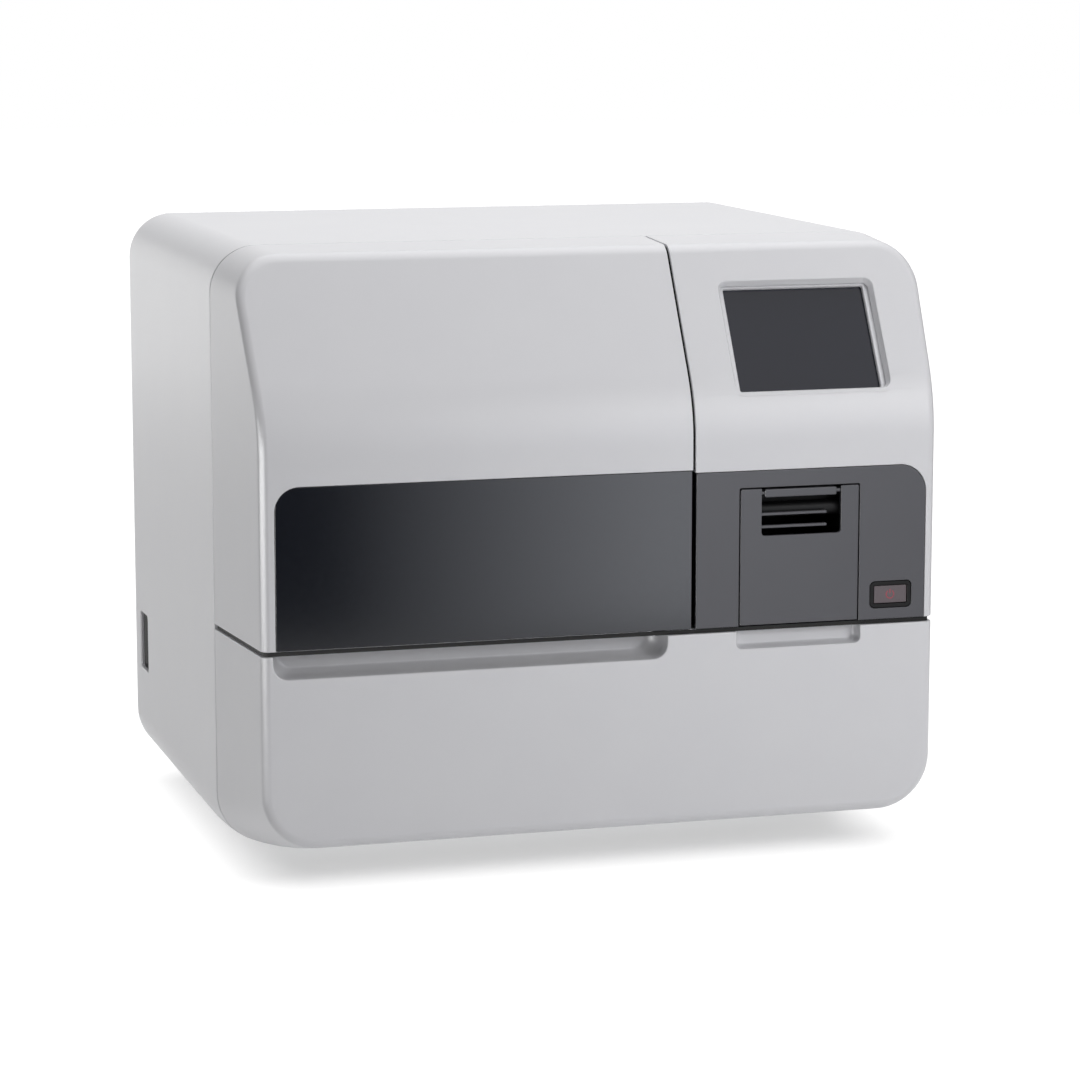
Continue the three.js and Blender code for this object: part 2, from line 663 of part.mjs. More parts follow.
function printerLever() {
  const leverX = [doorLeft + lever.inset, doorLeft + lever.inset + lever.width];
  const tab = block(leverX, [frontY, frontY + lever.thick], leverZ);
  const axleFrom = slotX[0] + gap;
  const axleTo = slotX[1] - gap;
  return tab.add(rod('x', axleFrom, axleTo, leverPivotY, leverPivotZ, lever.axleRadius, smallSides));
}
add('printer_release_lever', printerLever(), finishes.darkPanel);

function platenRoller() {
  const from = cheekXs[0][1] + platen.endGap;
  const to = cheekXs[1][0] - platen.endGap;
  const shaftXs = [cheekXs[0][0] + gap, cheekXs[1][1] - gap];
  const shaft = rod('x', shaftXs[0], shaftXs[1], platenY, platenZ, platen.shaftRadius, smallSides);
  return rod('x', from, to, platenY, platenZ, platen.radius, roundSides).add(shaft);
}
add('platen_roller', platenRoller(), finishes.rubber);

// Printer body: an open-fronted bay for the paper roll, with ears for the door's pins
// and a shelf that carries it from the partition wall
const partitionX = [panelLeft, panelLeft + partition.thick];
const bayX = [cheekXs[0][1] + gap, cheekXs[1][0] - gap];
const bayFront = frontY + printer.front;
const bayBack = bayFront + printer.depth;
const bayLow = upperLow + printer.lift;
const bayTop = bayLow + printer.height;
const rollY = frontY + paperRoll.back;
const rollZ = bayLow + printer.floor + gap + paperRoll.radius;

function printerBody() {
  const inside = block(
    [bayX[0] + printer.side, bayX[1] - printer.side],
    [-farOut, bayBack - printer.side],
    [bayLow + printer.floor, bayTop - printer.side],
  );
  const shelfY = [bayFront + printerShelf.ahead, bayBack];
  const shelf = block([partitionX[1], bayX[0] + gap], shelfY, [bayLow, bayLow + printer.floor]);
  const flangeX = [partitionX[1], partitionX[1] + printer.floor];
  const flange = block(flangeX, shelfY, [bayLow, bayLow + printerShelf.flange]);
  let solid = block(bayX, [bayFront, bayBack], [bayLow, bayTop]).subtract(inside).add(shelf).add(flange);
  const head = block(bayX, [bayFront, bayFront + printer.headDeep], [platenZ - printer.headTall / 2, bayTop]);
  solid = solid.add(head);
  const earXs = [[bayX[0], bayX[0] + printer.side], [bayX[1] - printer.side, bayX[1]]];
  for (const xs of earXs) {
    solid = solid.add(block(xs, [doorPivotY, bayFront + wall], around(doorPivotZ, 2 * doorHinge.ear)));
    solid = solid.add(rod('x', xs[0], xs[1], doorPivotY, doorPivotZ, doorHinge.ear, smallSides));
  }
  for (const [from, to] of [[cheekXs[0][0], bayX[0] + gap], [bayX[1] - gap, cheekXs[1][1]]]) {
    solid = solid.add(rod('x', from, to, doorPivotY, doorPivotZ, doorHinge.pinRadius, smallSides));
  }
  return solid;
}
add('printer_body', printerBody(), finishes.black);

function rollOfPaper() {
  const [from, to] = around((bayX[0] + bayX[1]) / 2, paperRoll.width);
  const roll = rod('x', from, to, rollY, rollZ, paperRoll.radius, roundSides);
  return roll.subtract(rod('x', from - overrun, to + overrun, rollY, rollZ, paperRoll.hole, smallSides));
}
add('paper_roll', rollOfPaper(), finishes.paper);

// Power button in its frame, with the switch behind it
function buttonFrame() {
  const outer = pushed(rounded(buttonX, buttonZ, evenly(button.radius)), 'y', frontY, frontY + button.depth);
  const hole = rounded(
    [buttonX[0] + button.rim, buttonX[1] - button.rim],
    [buttonZ[0] + button.rim, buttonZ[1] - button.rim],
    evenly(button.radius - button.rim),
  );
  return outer.subtract(pushed(hole, 'y', frontY - overrun, frontY + button.depth + overrun));
}
add('power_button_frame', buttonFrame(), finishes.black);

const capShape = rounded(
  [buttonX[0] + button.rim + gap, buttonX[1] - button.rim - gap],
  [buttonZ[0] + button.rim + gap, buttonZ[1] - button.rim - gap],
  evenly(button.radius - button.rim - gap),
);
const capFront = frontY + button.sunk;
add('power_button', pushed(capShape, 'y', capFront, capFront + button.long), finishes.cap);

const switchFront = Math.max(frontY + button.depth, capFront + button.long + buttonTravel) + gap;
const switchX = around((buttonX[0] + buttonX[1]) / 2, buttonSwitch.width);
const switchZ = around((buttonZ[0] + buttonZ[1]) / 2, buttonSwitch.height);
add('power_switch', block(switchX, [switchFront, switchFront + buttonSwitch.depth], switchZ), finishes.black);

// Base plate, bent up at the front to follow the chin
function basePlate() {
  const frontEnd = THREE.MathUtils.lerp(frontY + rimRadius, seamY, flankShares[1]);
  const bends = [rearInside - base.rearGap, chinStartY, seamY, frontEnd];
  const low = (y) => keelZ(y) + wall + (y < chinStartY ? base.lift : 0);
  const lower = bends.map((y) => [y, low(y)]);
  const upper = bends.map((y) => [y, low(y) + base.thick]).reverse();
  return pushed(outline([...lower, ...upper].reverse()), 'x', -mouthX - base.lip, mouthX + base.lip);
}
add('base_plate', basePlate(), finishes.sheet);

const footX = sideX - foot.fromSide;
const feet = [
  ['foot_front_left', -footX, frontY + foot.fromFront],
  ['foot_front_right', footX, frontY + foot.fromFront],
  ['foot_rear_left', -footX, rearY - foot.fromRear],
  ['foot_rear_right', footX, rearY - foot.fromRear],
];
for (const [name, x, y] of feet) add(name, rod('z', 0, baseLow, x, y, foot.radius), finishes.rubber);

// Inner walls and the deck
function partitionWall() {
  const upright = bodyForm(partition.inset)
    .intersect(block(partitionX, [-farOut, rearInside - base.rearGap], [seamZ, roofZ - partition.roofGap]));
  const lowerFront = frontY + partition.frontInset;
  const lower = block(partitionX, [lowerFront, rearInside - base.rearGap], [baseTop, seamZ]);
  const chinTop = keelZ(lowerFront) + wall + base.thick + partition.chinGap;
  const chin = block(everyX, [-farOut, chinStartY], [-farOut, chinTop]);
  return upright.add(lower.subtract(chin));
}
add('partition_wall', partitionWall(), finishes.sheet);

const deckZ = [deckTop - deck.thick, deckTop];
const deckY = [frontY + deck.frontInset, backFace + deck.behind];
const deckX = [deckLeft, partitionX[0] - gap];
const rackX = [deckX[0] + rack.left, deckX[1] - rack.right];
const rackY = [deckY[0] + rack.front, deckY[0] + rack.front + rack.deep];
const reagentY = [rackY[1] + reagent.behind, rackY[1] + reagent.behind + reagent.deep];
const trayY = [reagentY[1] + tray.behind, reagentY[1] + tray.behind + tray.deep];
const chuteX = [deckX[1] - chute.x, deckX[1] - chute.x + chute.width];
const chuteY = [backFace - chute.fromBack, backFace - chute.fromBack + chute.depth];

function deckPlate() {
  const plate = block(deckX, deckY, deckZ);
  const skirt = block(deckX, [deckY[0], deckY[0] + deck.thick], [deckTop - deck.skirt, deckTop]);
  return plate.add(skirt).subtract(block(chuteX, chuteY, [deckZ[0] - overrun, deckTop + overrun]));
}
add('deck_plate', deckPlate(), finishes.white);

// A bent side plate under the left of the deck
function deckSupport() {
  const left = -sideX + support.inset;
  const ys = [chinStartY + gap, rearInside - base.rearGap];
  const upright = block([left, left + support.thick], ys, [baseTop, deckZ[0]]);
  const shelf = block([left, left + support.flange], ys, [deckZ[0] - support.thick, deckZ[0]]);
  const sole = block([left, left + support.flange], ys, [baseTop, baseTop + support.thick]);
  return upright.add(shelf).add(sole);
}
add('deck_support', deckSupport(), finishes.sheet);

const railZ = [roofZ - rail.below - rail.tall, roofZ - rail.below];
const beltZ = railZ[1] + beltDrive.lift + beltDrive.radius + beltDrive.belt;
const backWallZ = [deckTop, beltZ + backWall.above];
const driveX = deckX[1] - beltDrive.inset - motor.side / 2;
const idlerX = deckX[0] + beltDrive.inset + beltDrive.radius;
const beltY = [backFace - beltDrive.stand - beltDrive.pulleyWidth, backFace - beltDrive.stand];

function compartmentWall() {
  const plate = block(deckX, [backFace, backFace + backWall.thick], backWallZ);
  const holeRadius = beltDrive.shaftRadius + gap;
  const hole = rod('y', backFace - overrun, backFace + overrun, driveX, beltZ, holeRadius, smallSides);
  const pinEnd = backFace + backWall.thick / 2;
  const idlerPin = rod('y', beltY[0], pinEnd, idlerX, beltZ, beltDrive.shaftRadius, smallSides);
  return plate.subtract(hole).add(idlerPin);
}
add('compartment_wall', compartmentWall(), finishes.sheet);

// A block with a row of round holes from above, as many as its length takes
function drilled(xs, ys, zs, { pitch, margin, holeRadius, floor }, sides) {
  let solid = block(xs, ys, zs);
  const holes = Math.floor((xs[1] - xs[0] - 2 * margin) / pitch) + 1;
  const middleX = (xs[0] + xs[1]) / 2;
  const middleY = (ys[0] + ys[1]) / 2;
  for (let index = 0; index < holes; index += 1) {
    const x = middleX + (index - (holes - 1) / 2) * pitch;
    solid = solid.subtract(rod('z', zs[0] + floor, zs[1] + overrun, x, middleY, holeRadius, sides));
  }
  return solid;
}

const onDeck = (tall) => [deckTop + gap, deckTop + gap + tall];
add('sample_rack', drilled(rackX, rackY, onDeck(rack.tall), rack, smallSides), finishes.grey);
add('reagent_block', drilled(rackX, reagentY, onDeck(reagent.tall), reagent, smallSides), finishes.anodised);

const detectorX = [THREE.MathUtils.lerp(rackX[1], rackX[0], detectorLengthShare), rackX[1]];
const detectorY = [trayY[0], trayY[0] + detector.deep];
const detectorZ = onDeck(detector.tall);
add('detector_block', drilled(detectorX, detectorY, detectorZ, detector, smallSides), finishes.anodised);

function reactionTubeTray() {
  const xs = [rackX[0], detectorX[0] - tray.beside];
  const [low, top] = onDeck(tray.tall);
  const pocket = block(
    [xs[0] + tray.rim, xs[1] - tray.rim],
    [trayY[0] + tray.rim, trayY[1] - tray.rim],
    [low + tray.floor, top + overrun],
  );
  return block(xs, trayY, [low, top]).subtract(pocket);
}
add('reaction_tube_tray', reactionTubeTray(), finishes.white);

// Sampling arm: a carriage on the cross rail, an arm towards the front and the probe unit on it
const carriageX = around(deckX[0] + carriage.home + carriage.width / 2, carriage.width);
const carriageMiddle = (carriageX[0] + carriageX[1]) / 2;
const carriageY = [backFace - rail.deep - gap - carriage.deep, backFace - rail.deep - gap];
const armX = around(carriageMiddle, yArm.width);
const armZ = [railZ[0] - yArm.below, railZ[0] - yArm.below + yArm.tall];
const armY = [carriageY[0] - gap - yArm.reach, carriageY[0] - gap];
const unitFront = armY[0] + probeUnit.homeInset - probeUnit.deep / 2;
const unitY = [unitFront, unitFront + probeUnit.deep];
const probeY = (unitY[0] + unitY[1]) / 2;

const railX = [deckX[0] + rail.left, deckX[1] - rail.right];
add('x_rail', block(railX, [backFace - rail.deep, backFace], railZ), finishes.steel);

function xCarriage() {
  const low = railZ[0] - carriage.below;
  const top = beltZ - beltDrive.radius - beltDrive.belt - 2 * gap;
  const lipY = [carriageY[1], carriageY[1] + carriage.lipDeep];
  const plate = block(carriageX, carriageY, [low, top]);
  const lowLip = block(carriageX, lipY, [railZ[0] - gap - carriage.lip, railZ[0] - gap]);
  const topLip = block(carriageX, lipY, [railZ[1] + gap, top]);
  return plate.add(lowLip).add(topLip);
}
add('x_carriage', xCarriage(), finishes.anodised);

add('y_arm', block(armX, armY, armZ), finishes.anodised);

const motorX = around(driveX, motor.side);
const motorY = [backFace + backWall.thick + gap, backFace + backWall.thick + gap + motor.long];
add('x_motor', block(motorX, motorY, around(beltZ, motor.side)), finishes.black);

const pulleyRadius = beltDrive.radius;
const beltRun = around((beltY[0] + beltY[1]) / 2, beltDrive.width);
const shaftEnd = backFace + backWall.thick;
const idlerBore = beltDrive.shaftRadius + gap;
add(
  'drive_pulley',
  rod('y', beltY[0], beltY[1], driveX, beltZ, pulleyRadius)
    .add(rod('y', beltY[1] - gap, shaftEnd, driveX, beltZ, beltDrive.shaftRadius, smallSides)),
  finishes.steel,
);
add(
  'idler_pulley',
  rod('y', beltY[0] + gap, beltY[1] - gap, idlerX, beltZ, pulleyRadius)
    .subtract(rod('y', beltY[0] - overrun, beltY[1] + overrun, idlerX, beltZ, idlerBore, smallSides)),
  finishes.steel,
);

function beltLoop() {
  const loop = (grow) => {
    const radius = pulleyRadius + gap + grow;
    return rounded([idlerX - radius, driveX + radius], around(beltZ, 2 * radius), evenly(radius));
  };
  const outer = pushed(loop(beltDrive.belt), 'y', beltRun[0], beltRun[1]);
  return outer.subtract(pushed(loop(0), 'y', beltRun[0] - overrun, beltRun[1] + overrun));
}
add('x_belt', beltLoop(), finishes.rubber);

const plateZ = [armZ[0] - probeUnit.down, armZ[1] + gap + probeUnit.tall];
const leftPlateX = [armX[0] - gap - probeUnit.plate, armX[0] - gap];
const rightPlateX = [armX[1] + gap, armX[1] + gap + probeUnit.plate];

function probeUnitSolid() {
  const saddle = block([leftPlateX[0], rightPlateX[1]], unitY, [armZ[1] + gap, plateZ[1]]);
  return saddle.add(block(leftPlateX, unitY, plateZ)).add(block(rightPlateX, unitY, plateZ));
}
add('probe_unit', probeUnitSolid(), finishes.white);

const sliderX = [leftPlateX[0] - gap - probeSlider.width, leftPlateX[0] - gap];
const sliderZ = [armZ[0] - probeSlider.below, armZ[0] - probeSlider.below + probeSlider.tall];
const probeX = (sliderX[0] + sliderX[1]) / 2;
add('probe_slider', block(sliderX, around(probeY, probeSlider.deep), sliderZ), finishes.anodised);

const tipZ = deckTop + probe.tip;
add(
  'sample_probe',
  rod('z', tipZ, sliderZ[0], probeX, probeY, probe.radius, holeSides)
    .add(rod('z', sliderZ[0] - probe.collarTall, sliderZ[0], probeX, probeY, probe.collar, smallSides)),
  finishes.steel,
);

function tubeCatcher() {
  const xs = [rightPlateX[1] + gap, rightPlateX[1] + gap + catcher.width];
  const ys = around(probeY, catcher.deep);
  const low = armZ[0] - catcher.below;
  let solid = block(xs, ys, [low, low + catcher.tall]);
  const middle = (xs[0] + xs[1]) / 2;
  for (const side of [-1, 1]) {
    const fingerX = around(middle + (side * catcher.mouth) / 2 + (side * catcher.finger) / 2, catcher.finger);
    solid = solid.add(block(fingerX, around(probeY, catcher.deep / 2), [low - catcher.fingerTall, low]));
  }
  return solid;
}
add('tube_catcher', tubeCatcher(), finishes.black);

// Rinse cup under the probe's home, and the box that used tubes fall into
function rinse() {
  const [low, top] = onDeck(rinseCup.tall);
  const cup = rod('z', low, top, probeX, probeY, rinseCup.radius, roundSides);
  const { floor, holeRadius } = rinseCup;
  return cup.subtract(rod('z', low + floor, top + overrun, probeX, probeY, holeRadius, smallSides));
}
add('rinse_cup', rinse(), finishes.white);

const boxY = around((chuteY[0] + chuteY[1]) / 2, usedBox.deep);

function usedTubeBox() {
  const xs = around((chuteX[0] + chuteX[1]) / 2, usedBox.width);
  const zs = [baseTop + gap, deckZ[0] - usedBox.below];
  const inside = block(
    [xs[0] + usedBox.wall, xs[1] - usedBox.wall],
    [boxY[0] + usedBox.wall, boxY[1] - usedBox.wall],
    [zs[0] + usedBox.floor, zs[1] + overrun],
  );
  return block(xs, boxY, zs).subtract(inside);
}
add('used_tube_box', usedTubeBox(), finishes.grey);

// Rear panel with vent slots before the fan, and holes for the inlet, the port and the nipples
const panelY = [rearInside, rearInside + rear.thick];
const panelCut = [rearInside - overrun, rearY + overrun];
const fanX = sideX - fan.fromSide;
const fanZ = roofZ - fan.below;
const inletX = sideX - inlet.fromSide;
const inletZ = floorZ + inlet.height;
const portX = sideX - port.fromSide;
const portZ = floorZ + port.height;
const nippleX = -sideX + nipples.left;
const nippleZ = floorZ + nipples.height;

function ventSlot(index) {
  const z = fanZ + (index - (vent.count - 1) / 2) * vent.pitch;
  const reach = Math.sqrt(fan.bore ** 2 - (z - fanZ) ** 2);
  const left = block([fanX - reach, fanX - vent.bar / 2], panelCut, around(z, vent.tall));
  return left.add(block([fanX + vent.bar / 2, fanX + reach], panelCut, around(z, vent.tall)));
}

function rearPanel() {
  let panel = bodyForm(wall + gap).intersect(block(everyX, panelY, [baseLow + gap, farOut]));
  for (let index = 0; index < vent.count; index += 1) panel = panel.subtract(ventSlot(index));
  const openings = [
    [inletX, inlet.body, inletZ, inlet.bodyTall],
    [portX, port.width - 2 * port.rim, portZ, port.tall - 2 * port.rim],
  ];
  for (const [x, width, z, tall] of openings) {
    panel = panel.subtract(block(around(x, width + 2 * gap), panelCut, around(z, tall + 2 * gap)));
  }
  for (const side of [-1, 1]) {
    const x = nippleX + (side * nipples.pitch) / 2;
    panel = panel.subtract(rod('y', panelCut[0], panelCut[1], x, nippleZ, nipples.radius + gap, smallSides));
  }
  return panel;
}
add('rear_panel', rearPanel(), finishes.shell);

const lipY = [panelY[1], rearY - gap];

function powerInlet() {
  const lip = block(around(inletX, inlet.width), [lipY[0], lipY[0] + inlet.lip], around(inletZ, inlet.tall));
  const bodyY = [lipY[0] - inlet.deep, lipY[0] + gap];
  const body = block(around(inletX, inlet.body), bodyY, around(inletZ, inlet.bodyTall));
  const pocket = block(
    around(inletX, inlet.body - 2 * inlet.lip),
    [lipY[0] - inlet.pocket, farOut],
    around(inletZ, inlet.bodyTall - 2 * inlet.lip),
  );
  return lip.add(body).subtract(pocket);
}
add('power_inlet', powerInlet(), finishes.black);

function interfacePort() {
  const lip = block(around(portX, port.width), [lipY[0], lipY[0] + port.lip], around(portZ, port.tall));
  const bodyWide = port.width - 2 * port.rim;
  const bodyTall = port.tall - 2 * port.rim;
  const body = block(around(portX, bodyWide), [lipY[0] - port.deep, lipY[0] + gap], around(portZ, bodyTall));
  const pocket = block(
    around(portX, bodyWide - 2 * port.rim),
    [lipY[0] - port.pocket, farOut],
    around(portZ, bodyTall - 2 * port.rim),
  );
  return lip.add(body).subtract(pocket);
}
add('interface_port', interfacePort(), finishes.sheet);

function nipplePlate() {
  const plateY = [panelY[0] - nipples.lip - gap, panelY[0] - gap];
  let plate = block(around(nippleX, nipples.width), plateY, around(nippleZ, nipples.tall));
  for (const side of [-1, 1]) {
    const x = nippleX + (side * nipples.pitch) / 2;
    const from = panelY[0] - nipples.lip - nipples.deep;
    plate = plate.add(rod('y', from, rearY - gap, x, nippleZ, nipples.radius, smallSides));
    plate = plate.subtract(rod('y', from - overrun, rearY + overrun, x, nippleZ, nipples.bore, holeSides));
  }
  return plate;
}
add('fluid_nipples', nipplePlate(), finishes.steel);

// Cooling fan: a square frame with a round bore, and a rotor on the frame's hub post
const fanY = [panelY[0] - gap - fan.thick, panelY[0] - gap];

function fanFrame() {
  const square = block(around(fanX, fan.side), fanY, around(fanZ, fan.side));
  const bore = rod('y', fanY[0] - overrun, fanY[1] + overrun, fanX, fanZ, fan.bore, roundSides);
  const barY = [fanY[0], fanY[0] + fanPost.long];
  const bar = block(around(fanX, fan.side - 2 * gap), barY, around(fanZ, fanPost.barTall));
  const post = rod('y', fanY[0], fanY[1] - 2 * fanPost.long, fanX, fanZ, fanPost.shaftRadius, smallSides);
  return square.subtract(bore).add(bar).add(post);
}
add('fan_frame', fanFrame(), finishes.black);

function fanRotor() {
  const ys = [fanY[0] + fanPost.long + gap, fanY[1] - fanPost.long];
  let rotor = rod('y', ys[0], ys[1], fanX, fanZ, fan.hub, roundSides);
  for (let index = 0; index < fan.blades; index += 1) {
    const blade = new THREE.BoxGeometry(fan.bore - fan.hub, ys[1] - ys[0] - 2 * gap, fan.bladeThick);
    blade.rotateX(THREE.MathUtils.degToRad(bladeTurn));
    blade.scale(1, bladeDeepShare, 1);
    blade.translate((fan.bore + fan.hub) / 2 - fan.bladeThick, (ys[0] + ys[1]) / 2, 0);
    blade.rotateY((2 * Math.PI * index) / fan.blades);
    blade.translate(fanX, 0, fanZ);
    rotor = rotor.add(toSolid(blade));
  }
  const boreEnd = fanY[1] - fanPost.long - gap;
  return rotor.subtract(rod('y', ys[0] - overrun, boreEnd, fanX, fanZ, fanPost.shaftRadius + gap, smallSides));
}
add('fan_rotor', fanRotor(), finishes.black);

// Power supply, main board and rinse pump
const onBase = (tall) => [baseTop + gap, baseTop + gap + tall];
const supplyX = [-sideX + support.inset + supply.left, partitionX[0] - supply.right];
const supplyY = [boxY[1] + supply.behind, rearInside - supply.fromRear];
add('power_supply', block(supplyX, supplyY, onBase(supply.tall)), finishes.sheet);

function mainBoard() {
  const face = backFace + backWall.thick + gap;
  const xs = [deckX[0] + board.left, deckX[1] - board.right];
  const zs = [deckTop + board.lift, beltZ - motor.side / 2 - board.under];
  let solid = block(xs, [face + board.stand, face + board.stand + board.thick], zs);
  for (const x of [xs[0] + board.inset, xs[1] - board.inset]) {
    for (const z of [zs[0] + board.inset, zs[1] - board.inset]) {
      solid = solid.add(rod('y', face, face + board.stand + board.thick / 2, x, z, board.post, holeSides));
    }
  }
  return solid;
}
add('main_board', mainBoard(), finishes.green);

function rinsePump() {
  const x = partitionX[0] - pump.beside;
  const y = (boxY[1] + rearInside) / 2;
  const [low, top] = onBase(pump.tall);
  const head = block(around(x, pump.head), around(y, pump.head), [top - pump.headTall, top]);
  return rod('z', low, top - pump.headTall / 2, x, y, pump.radius).add(head);
}
add('rinse_pump', rinsePump(), finishes.grey);

export default analyzer;
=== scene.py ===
"""Looks of a benchtop coagulation analyzer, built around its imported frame.

+Z up, and the front faces -Y. Lengths are in millimetres and become metres where a mesh is made; lamps and
camera are in metres. The outer covers are thin shells cut from one smooth body form, the panels, door,
buttons and display are lofted from rounded outlines, and round parts are turned profiles.
"""
import json
import math

import bmesh
import bpy
import numpy as np
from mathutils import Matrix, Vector


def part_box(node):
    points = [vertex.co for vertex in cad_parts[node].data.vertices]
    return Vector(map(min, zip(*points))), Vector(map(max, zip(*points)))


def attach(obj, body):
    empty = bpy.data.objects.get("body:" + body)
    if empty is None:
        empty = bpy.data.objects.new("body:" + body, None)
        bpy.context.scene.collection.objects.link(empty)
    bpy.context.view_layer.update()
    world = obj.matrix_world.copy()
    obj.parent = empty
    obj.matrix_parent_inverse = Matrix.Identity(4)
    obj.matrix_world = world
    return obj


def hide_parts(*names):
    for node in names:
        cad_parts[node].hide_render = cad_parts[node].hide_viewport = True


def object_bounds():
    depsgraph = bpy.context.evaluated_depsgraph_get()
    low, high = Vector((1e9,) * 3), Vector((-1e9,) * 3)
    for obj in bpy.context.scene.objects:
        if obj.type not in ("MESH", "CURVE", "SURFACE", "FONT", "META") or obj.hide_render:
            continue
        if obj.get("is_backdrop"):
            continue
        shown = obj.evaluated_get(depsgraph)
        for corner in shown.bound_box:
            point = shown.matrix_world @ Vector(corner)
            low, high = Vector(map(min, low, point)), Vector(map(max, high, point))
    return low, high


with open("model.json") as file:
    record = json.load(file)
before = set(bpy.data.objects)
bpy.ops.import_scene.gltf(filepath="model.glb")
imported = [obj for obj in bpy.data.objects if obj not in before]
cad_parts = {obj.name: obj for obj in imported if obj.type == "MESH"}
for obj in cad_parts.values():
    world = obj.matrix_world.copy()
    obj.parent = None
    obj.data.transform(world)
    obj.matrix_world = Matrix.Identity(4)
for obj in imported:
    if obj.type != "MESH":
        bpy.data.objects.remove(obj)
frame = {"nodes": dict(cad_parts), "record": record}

cad_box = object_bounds()

METRES = 0.001
nodes = frame["nodes"]


def span(node, axis, inset=0.0):
    """Low and high end of a node along an axis, moved in by an inset."""
    first, last = (getattr(corner, axis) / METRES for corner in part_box(node))
    return (first + inset, last - inset)


def low(node, axis):
    return span(node, axis)[0]


def high(node, axis):
    return span(node, axis)[1]


def spans(node):
    return [span(node, axis) for axis in "xyz"]


def mid(pair):
    return sum(pair) / 2


def near(place, reach):
    """The stretch to both sides of a place."""
    return (place - reach, place + reach)


def wider(pair, extra):
    return (pair[0] - extra, pair[1] + extra)


# Places taken from the frame
HALF_WIDTH = high("main_housing", "x")
REAR = high("main_housing", "y")
ROOF = high("main_housing", "z")
FLOOR = low("main_housing", "z")
FRONT = low("cover_window", "y")
UPPER_LOW = low("light_shield_cover", "z")
COVER_BACK = high("light_shield_cover", "y")
COVER_RIGHT = high("light_shield_cover", "x")

# Body form, as the frame has it
WALL = 3
GAP = 0.3
SEAM_HALF = 1
FRONT_SEAM = 4
FACE_TAPER = 11.5
ROOF_DROP = 3
LEAN = 73
BEND_DROP = 123.6
BEND_HALF = 27
ROOF_RADIUS = 37
KEEL_RADIUS = 43
RIM_RADIUS = 6.5
CHIN_RUN = 184
CHIN_SPAN = 175
CHIN_RISE = 27
CHIN_POWER_SHARE = 1.6
EDGE = 0.8
REAR_EDGE = 2.5
OVERRUN = 6

SEAM_Y = COVER_BACK + SEAM_HALF
SEAM_X = COVER_RIGHT + SEAM_HALF
HOUSING_FRONT = SEAM_Y + SEAM_HALF
PANEL_LEFT = SEAM_X + SEAM_HALF
LOWER_TOP = UPPER_LOW - FRONT_SEAM
SEAM_Z = (UPPER_LOW + LOWER_TOP) / 2
BEND_Z = ROOF - BEND_DROP
LEAN_SLOPE = LEAN / (ROOF - BEND_Z)
LEAN_ANGLE = math.atan(LEAN_SLOPE)
CHIN_START = FRONT + CHIN_RUN
FAR = 1000
EVERYWHERE = (-FAR, FAR)
MERGE = 1e-6


def face_y(z):
    """Depth of the face at a height: upright, then a parabola, then a straight lean back to the roof."""
    u = z - BEND_Z
    bend = LEAN_SLOPE * (u + BEND_HALF) ** 2 / (4 * BEND_HALF)
    return FRONT + np.where(u <= -BEND_HALF, 0.0, np.where(u >= BEND_HALF, LEAN_SLOPE * u, bend))


def keel_z(y):
    """Height of the underside at a depth: flat, then rising to the front as a power of the chin's share."""
    share = np.maximum(CHIN_START - y, 0) / CHIN_SPAN
    return FLOOR + CHIN_RISE * share ** CHIN_POWER_SHARE


def roof_z(y):
    """Height of the roof at a depth: level, then falling a little over the front covers."""
    return ROOF - ROOF_DROP * np.maximum(SEAM_Y - y, 0) / (SEAM_Y - face_y(ROOF))


def half_width(y):
    """Half of the width at a depth: even, then tapering over the front covers."""
    return HALF_WIDTH - FACE_TAPER * np.maximum(SEAM_Y - y, 0) / (SEAM_Y - FRONT)


# Mesh helpers
def new_object(name, verts, faces):
    """A closed mesh from its corners and faces, with the faces turned outwards."""
    mesh = bpy.data.meshes.new(name)
    mesh.from_pydata((METRES * np.asarray(verts).reshape(-1, 3)).tolist(), [], faces)
    edit = bmesh.new()
    edit.from_mesh(mesh)
    bmesh.ops.remove_doubles(edit, verts=edit.verts, dist=MERGE)
    bmesh.ops.recalc_face_normals(edit, faces=edit.faces)
    edit.to_mesh(mesh)
    edit.free()
    thing = bpy.data.objects.new(name, mesh)
    bpy.context.scene.collection.objects.link(thing)
    return thing


def ring_quads(rings, around, wrap=False):
    """Quads between neighbours of a stack of closed rings, as whole arrays of corner numbers."""
    i, j = np.meshgrid(np.arange(rings if wrap else rings - 1), np.arange(around), indexing="ij")
    here, beside = i * around + j, i * around + (j + 1) % around
    above = (i + 1) % rings * around
    return np.stack([here, beside, above + (j + 1) % around, above + j], -1).reshape(-1, 4).tolist()


def loft(name, rings, wrap=False):
    """A solid through a stack of closed rings of points, capped by flat ends unless the stack closes."""
    count, around = rings.shape[:2]
    faces = ring_quads(count, around, wrap)
    if not wrap:
        faces += [list(range(around)), list(range((count - 1) * around, count * around))]
    return new_object(name, rings, faces)


def bake_modifiers(thing):
    """Keep what the modifiers make as the mesh itself."""
    bpy.context.view_layer.update()
    shaped = thing.evaluated_get(bpy.context.evaluated_depsgraph_get())
    made = bpy.data.meshes.new_from_object(shaped)
    thing.modifiers.clear()
    thing.data = made
    return thing


def combine(thing, tool, operation, keep=False):
    """Join, cut or trim one closed mesh by another."""
    change = thing.modifiers.new(operation, "BOOLEAN")
    change.operation = operation
    change.solver = "MANIFOLD"
    change.object = tool
    bake_modifiers(thing)
    if not keep:
        bpy.data.objects.remove(tool)
    return thing


def cut(thing, *tools):
    for tool in tools:
        combine(thing, tool, "DIFFERENCE")
    return thing


def join(thing, *tools):
    for tool in tools:
        combine(thing, tool, "UNION")
    return thing


def trim(thing, tool):
    return combine(thing, tool, "INTERSECT")


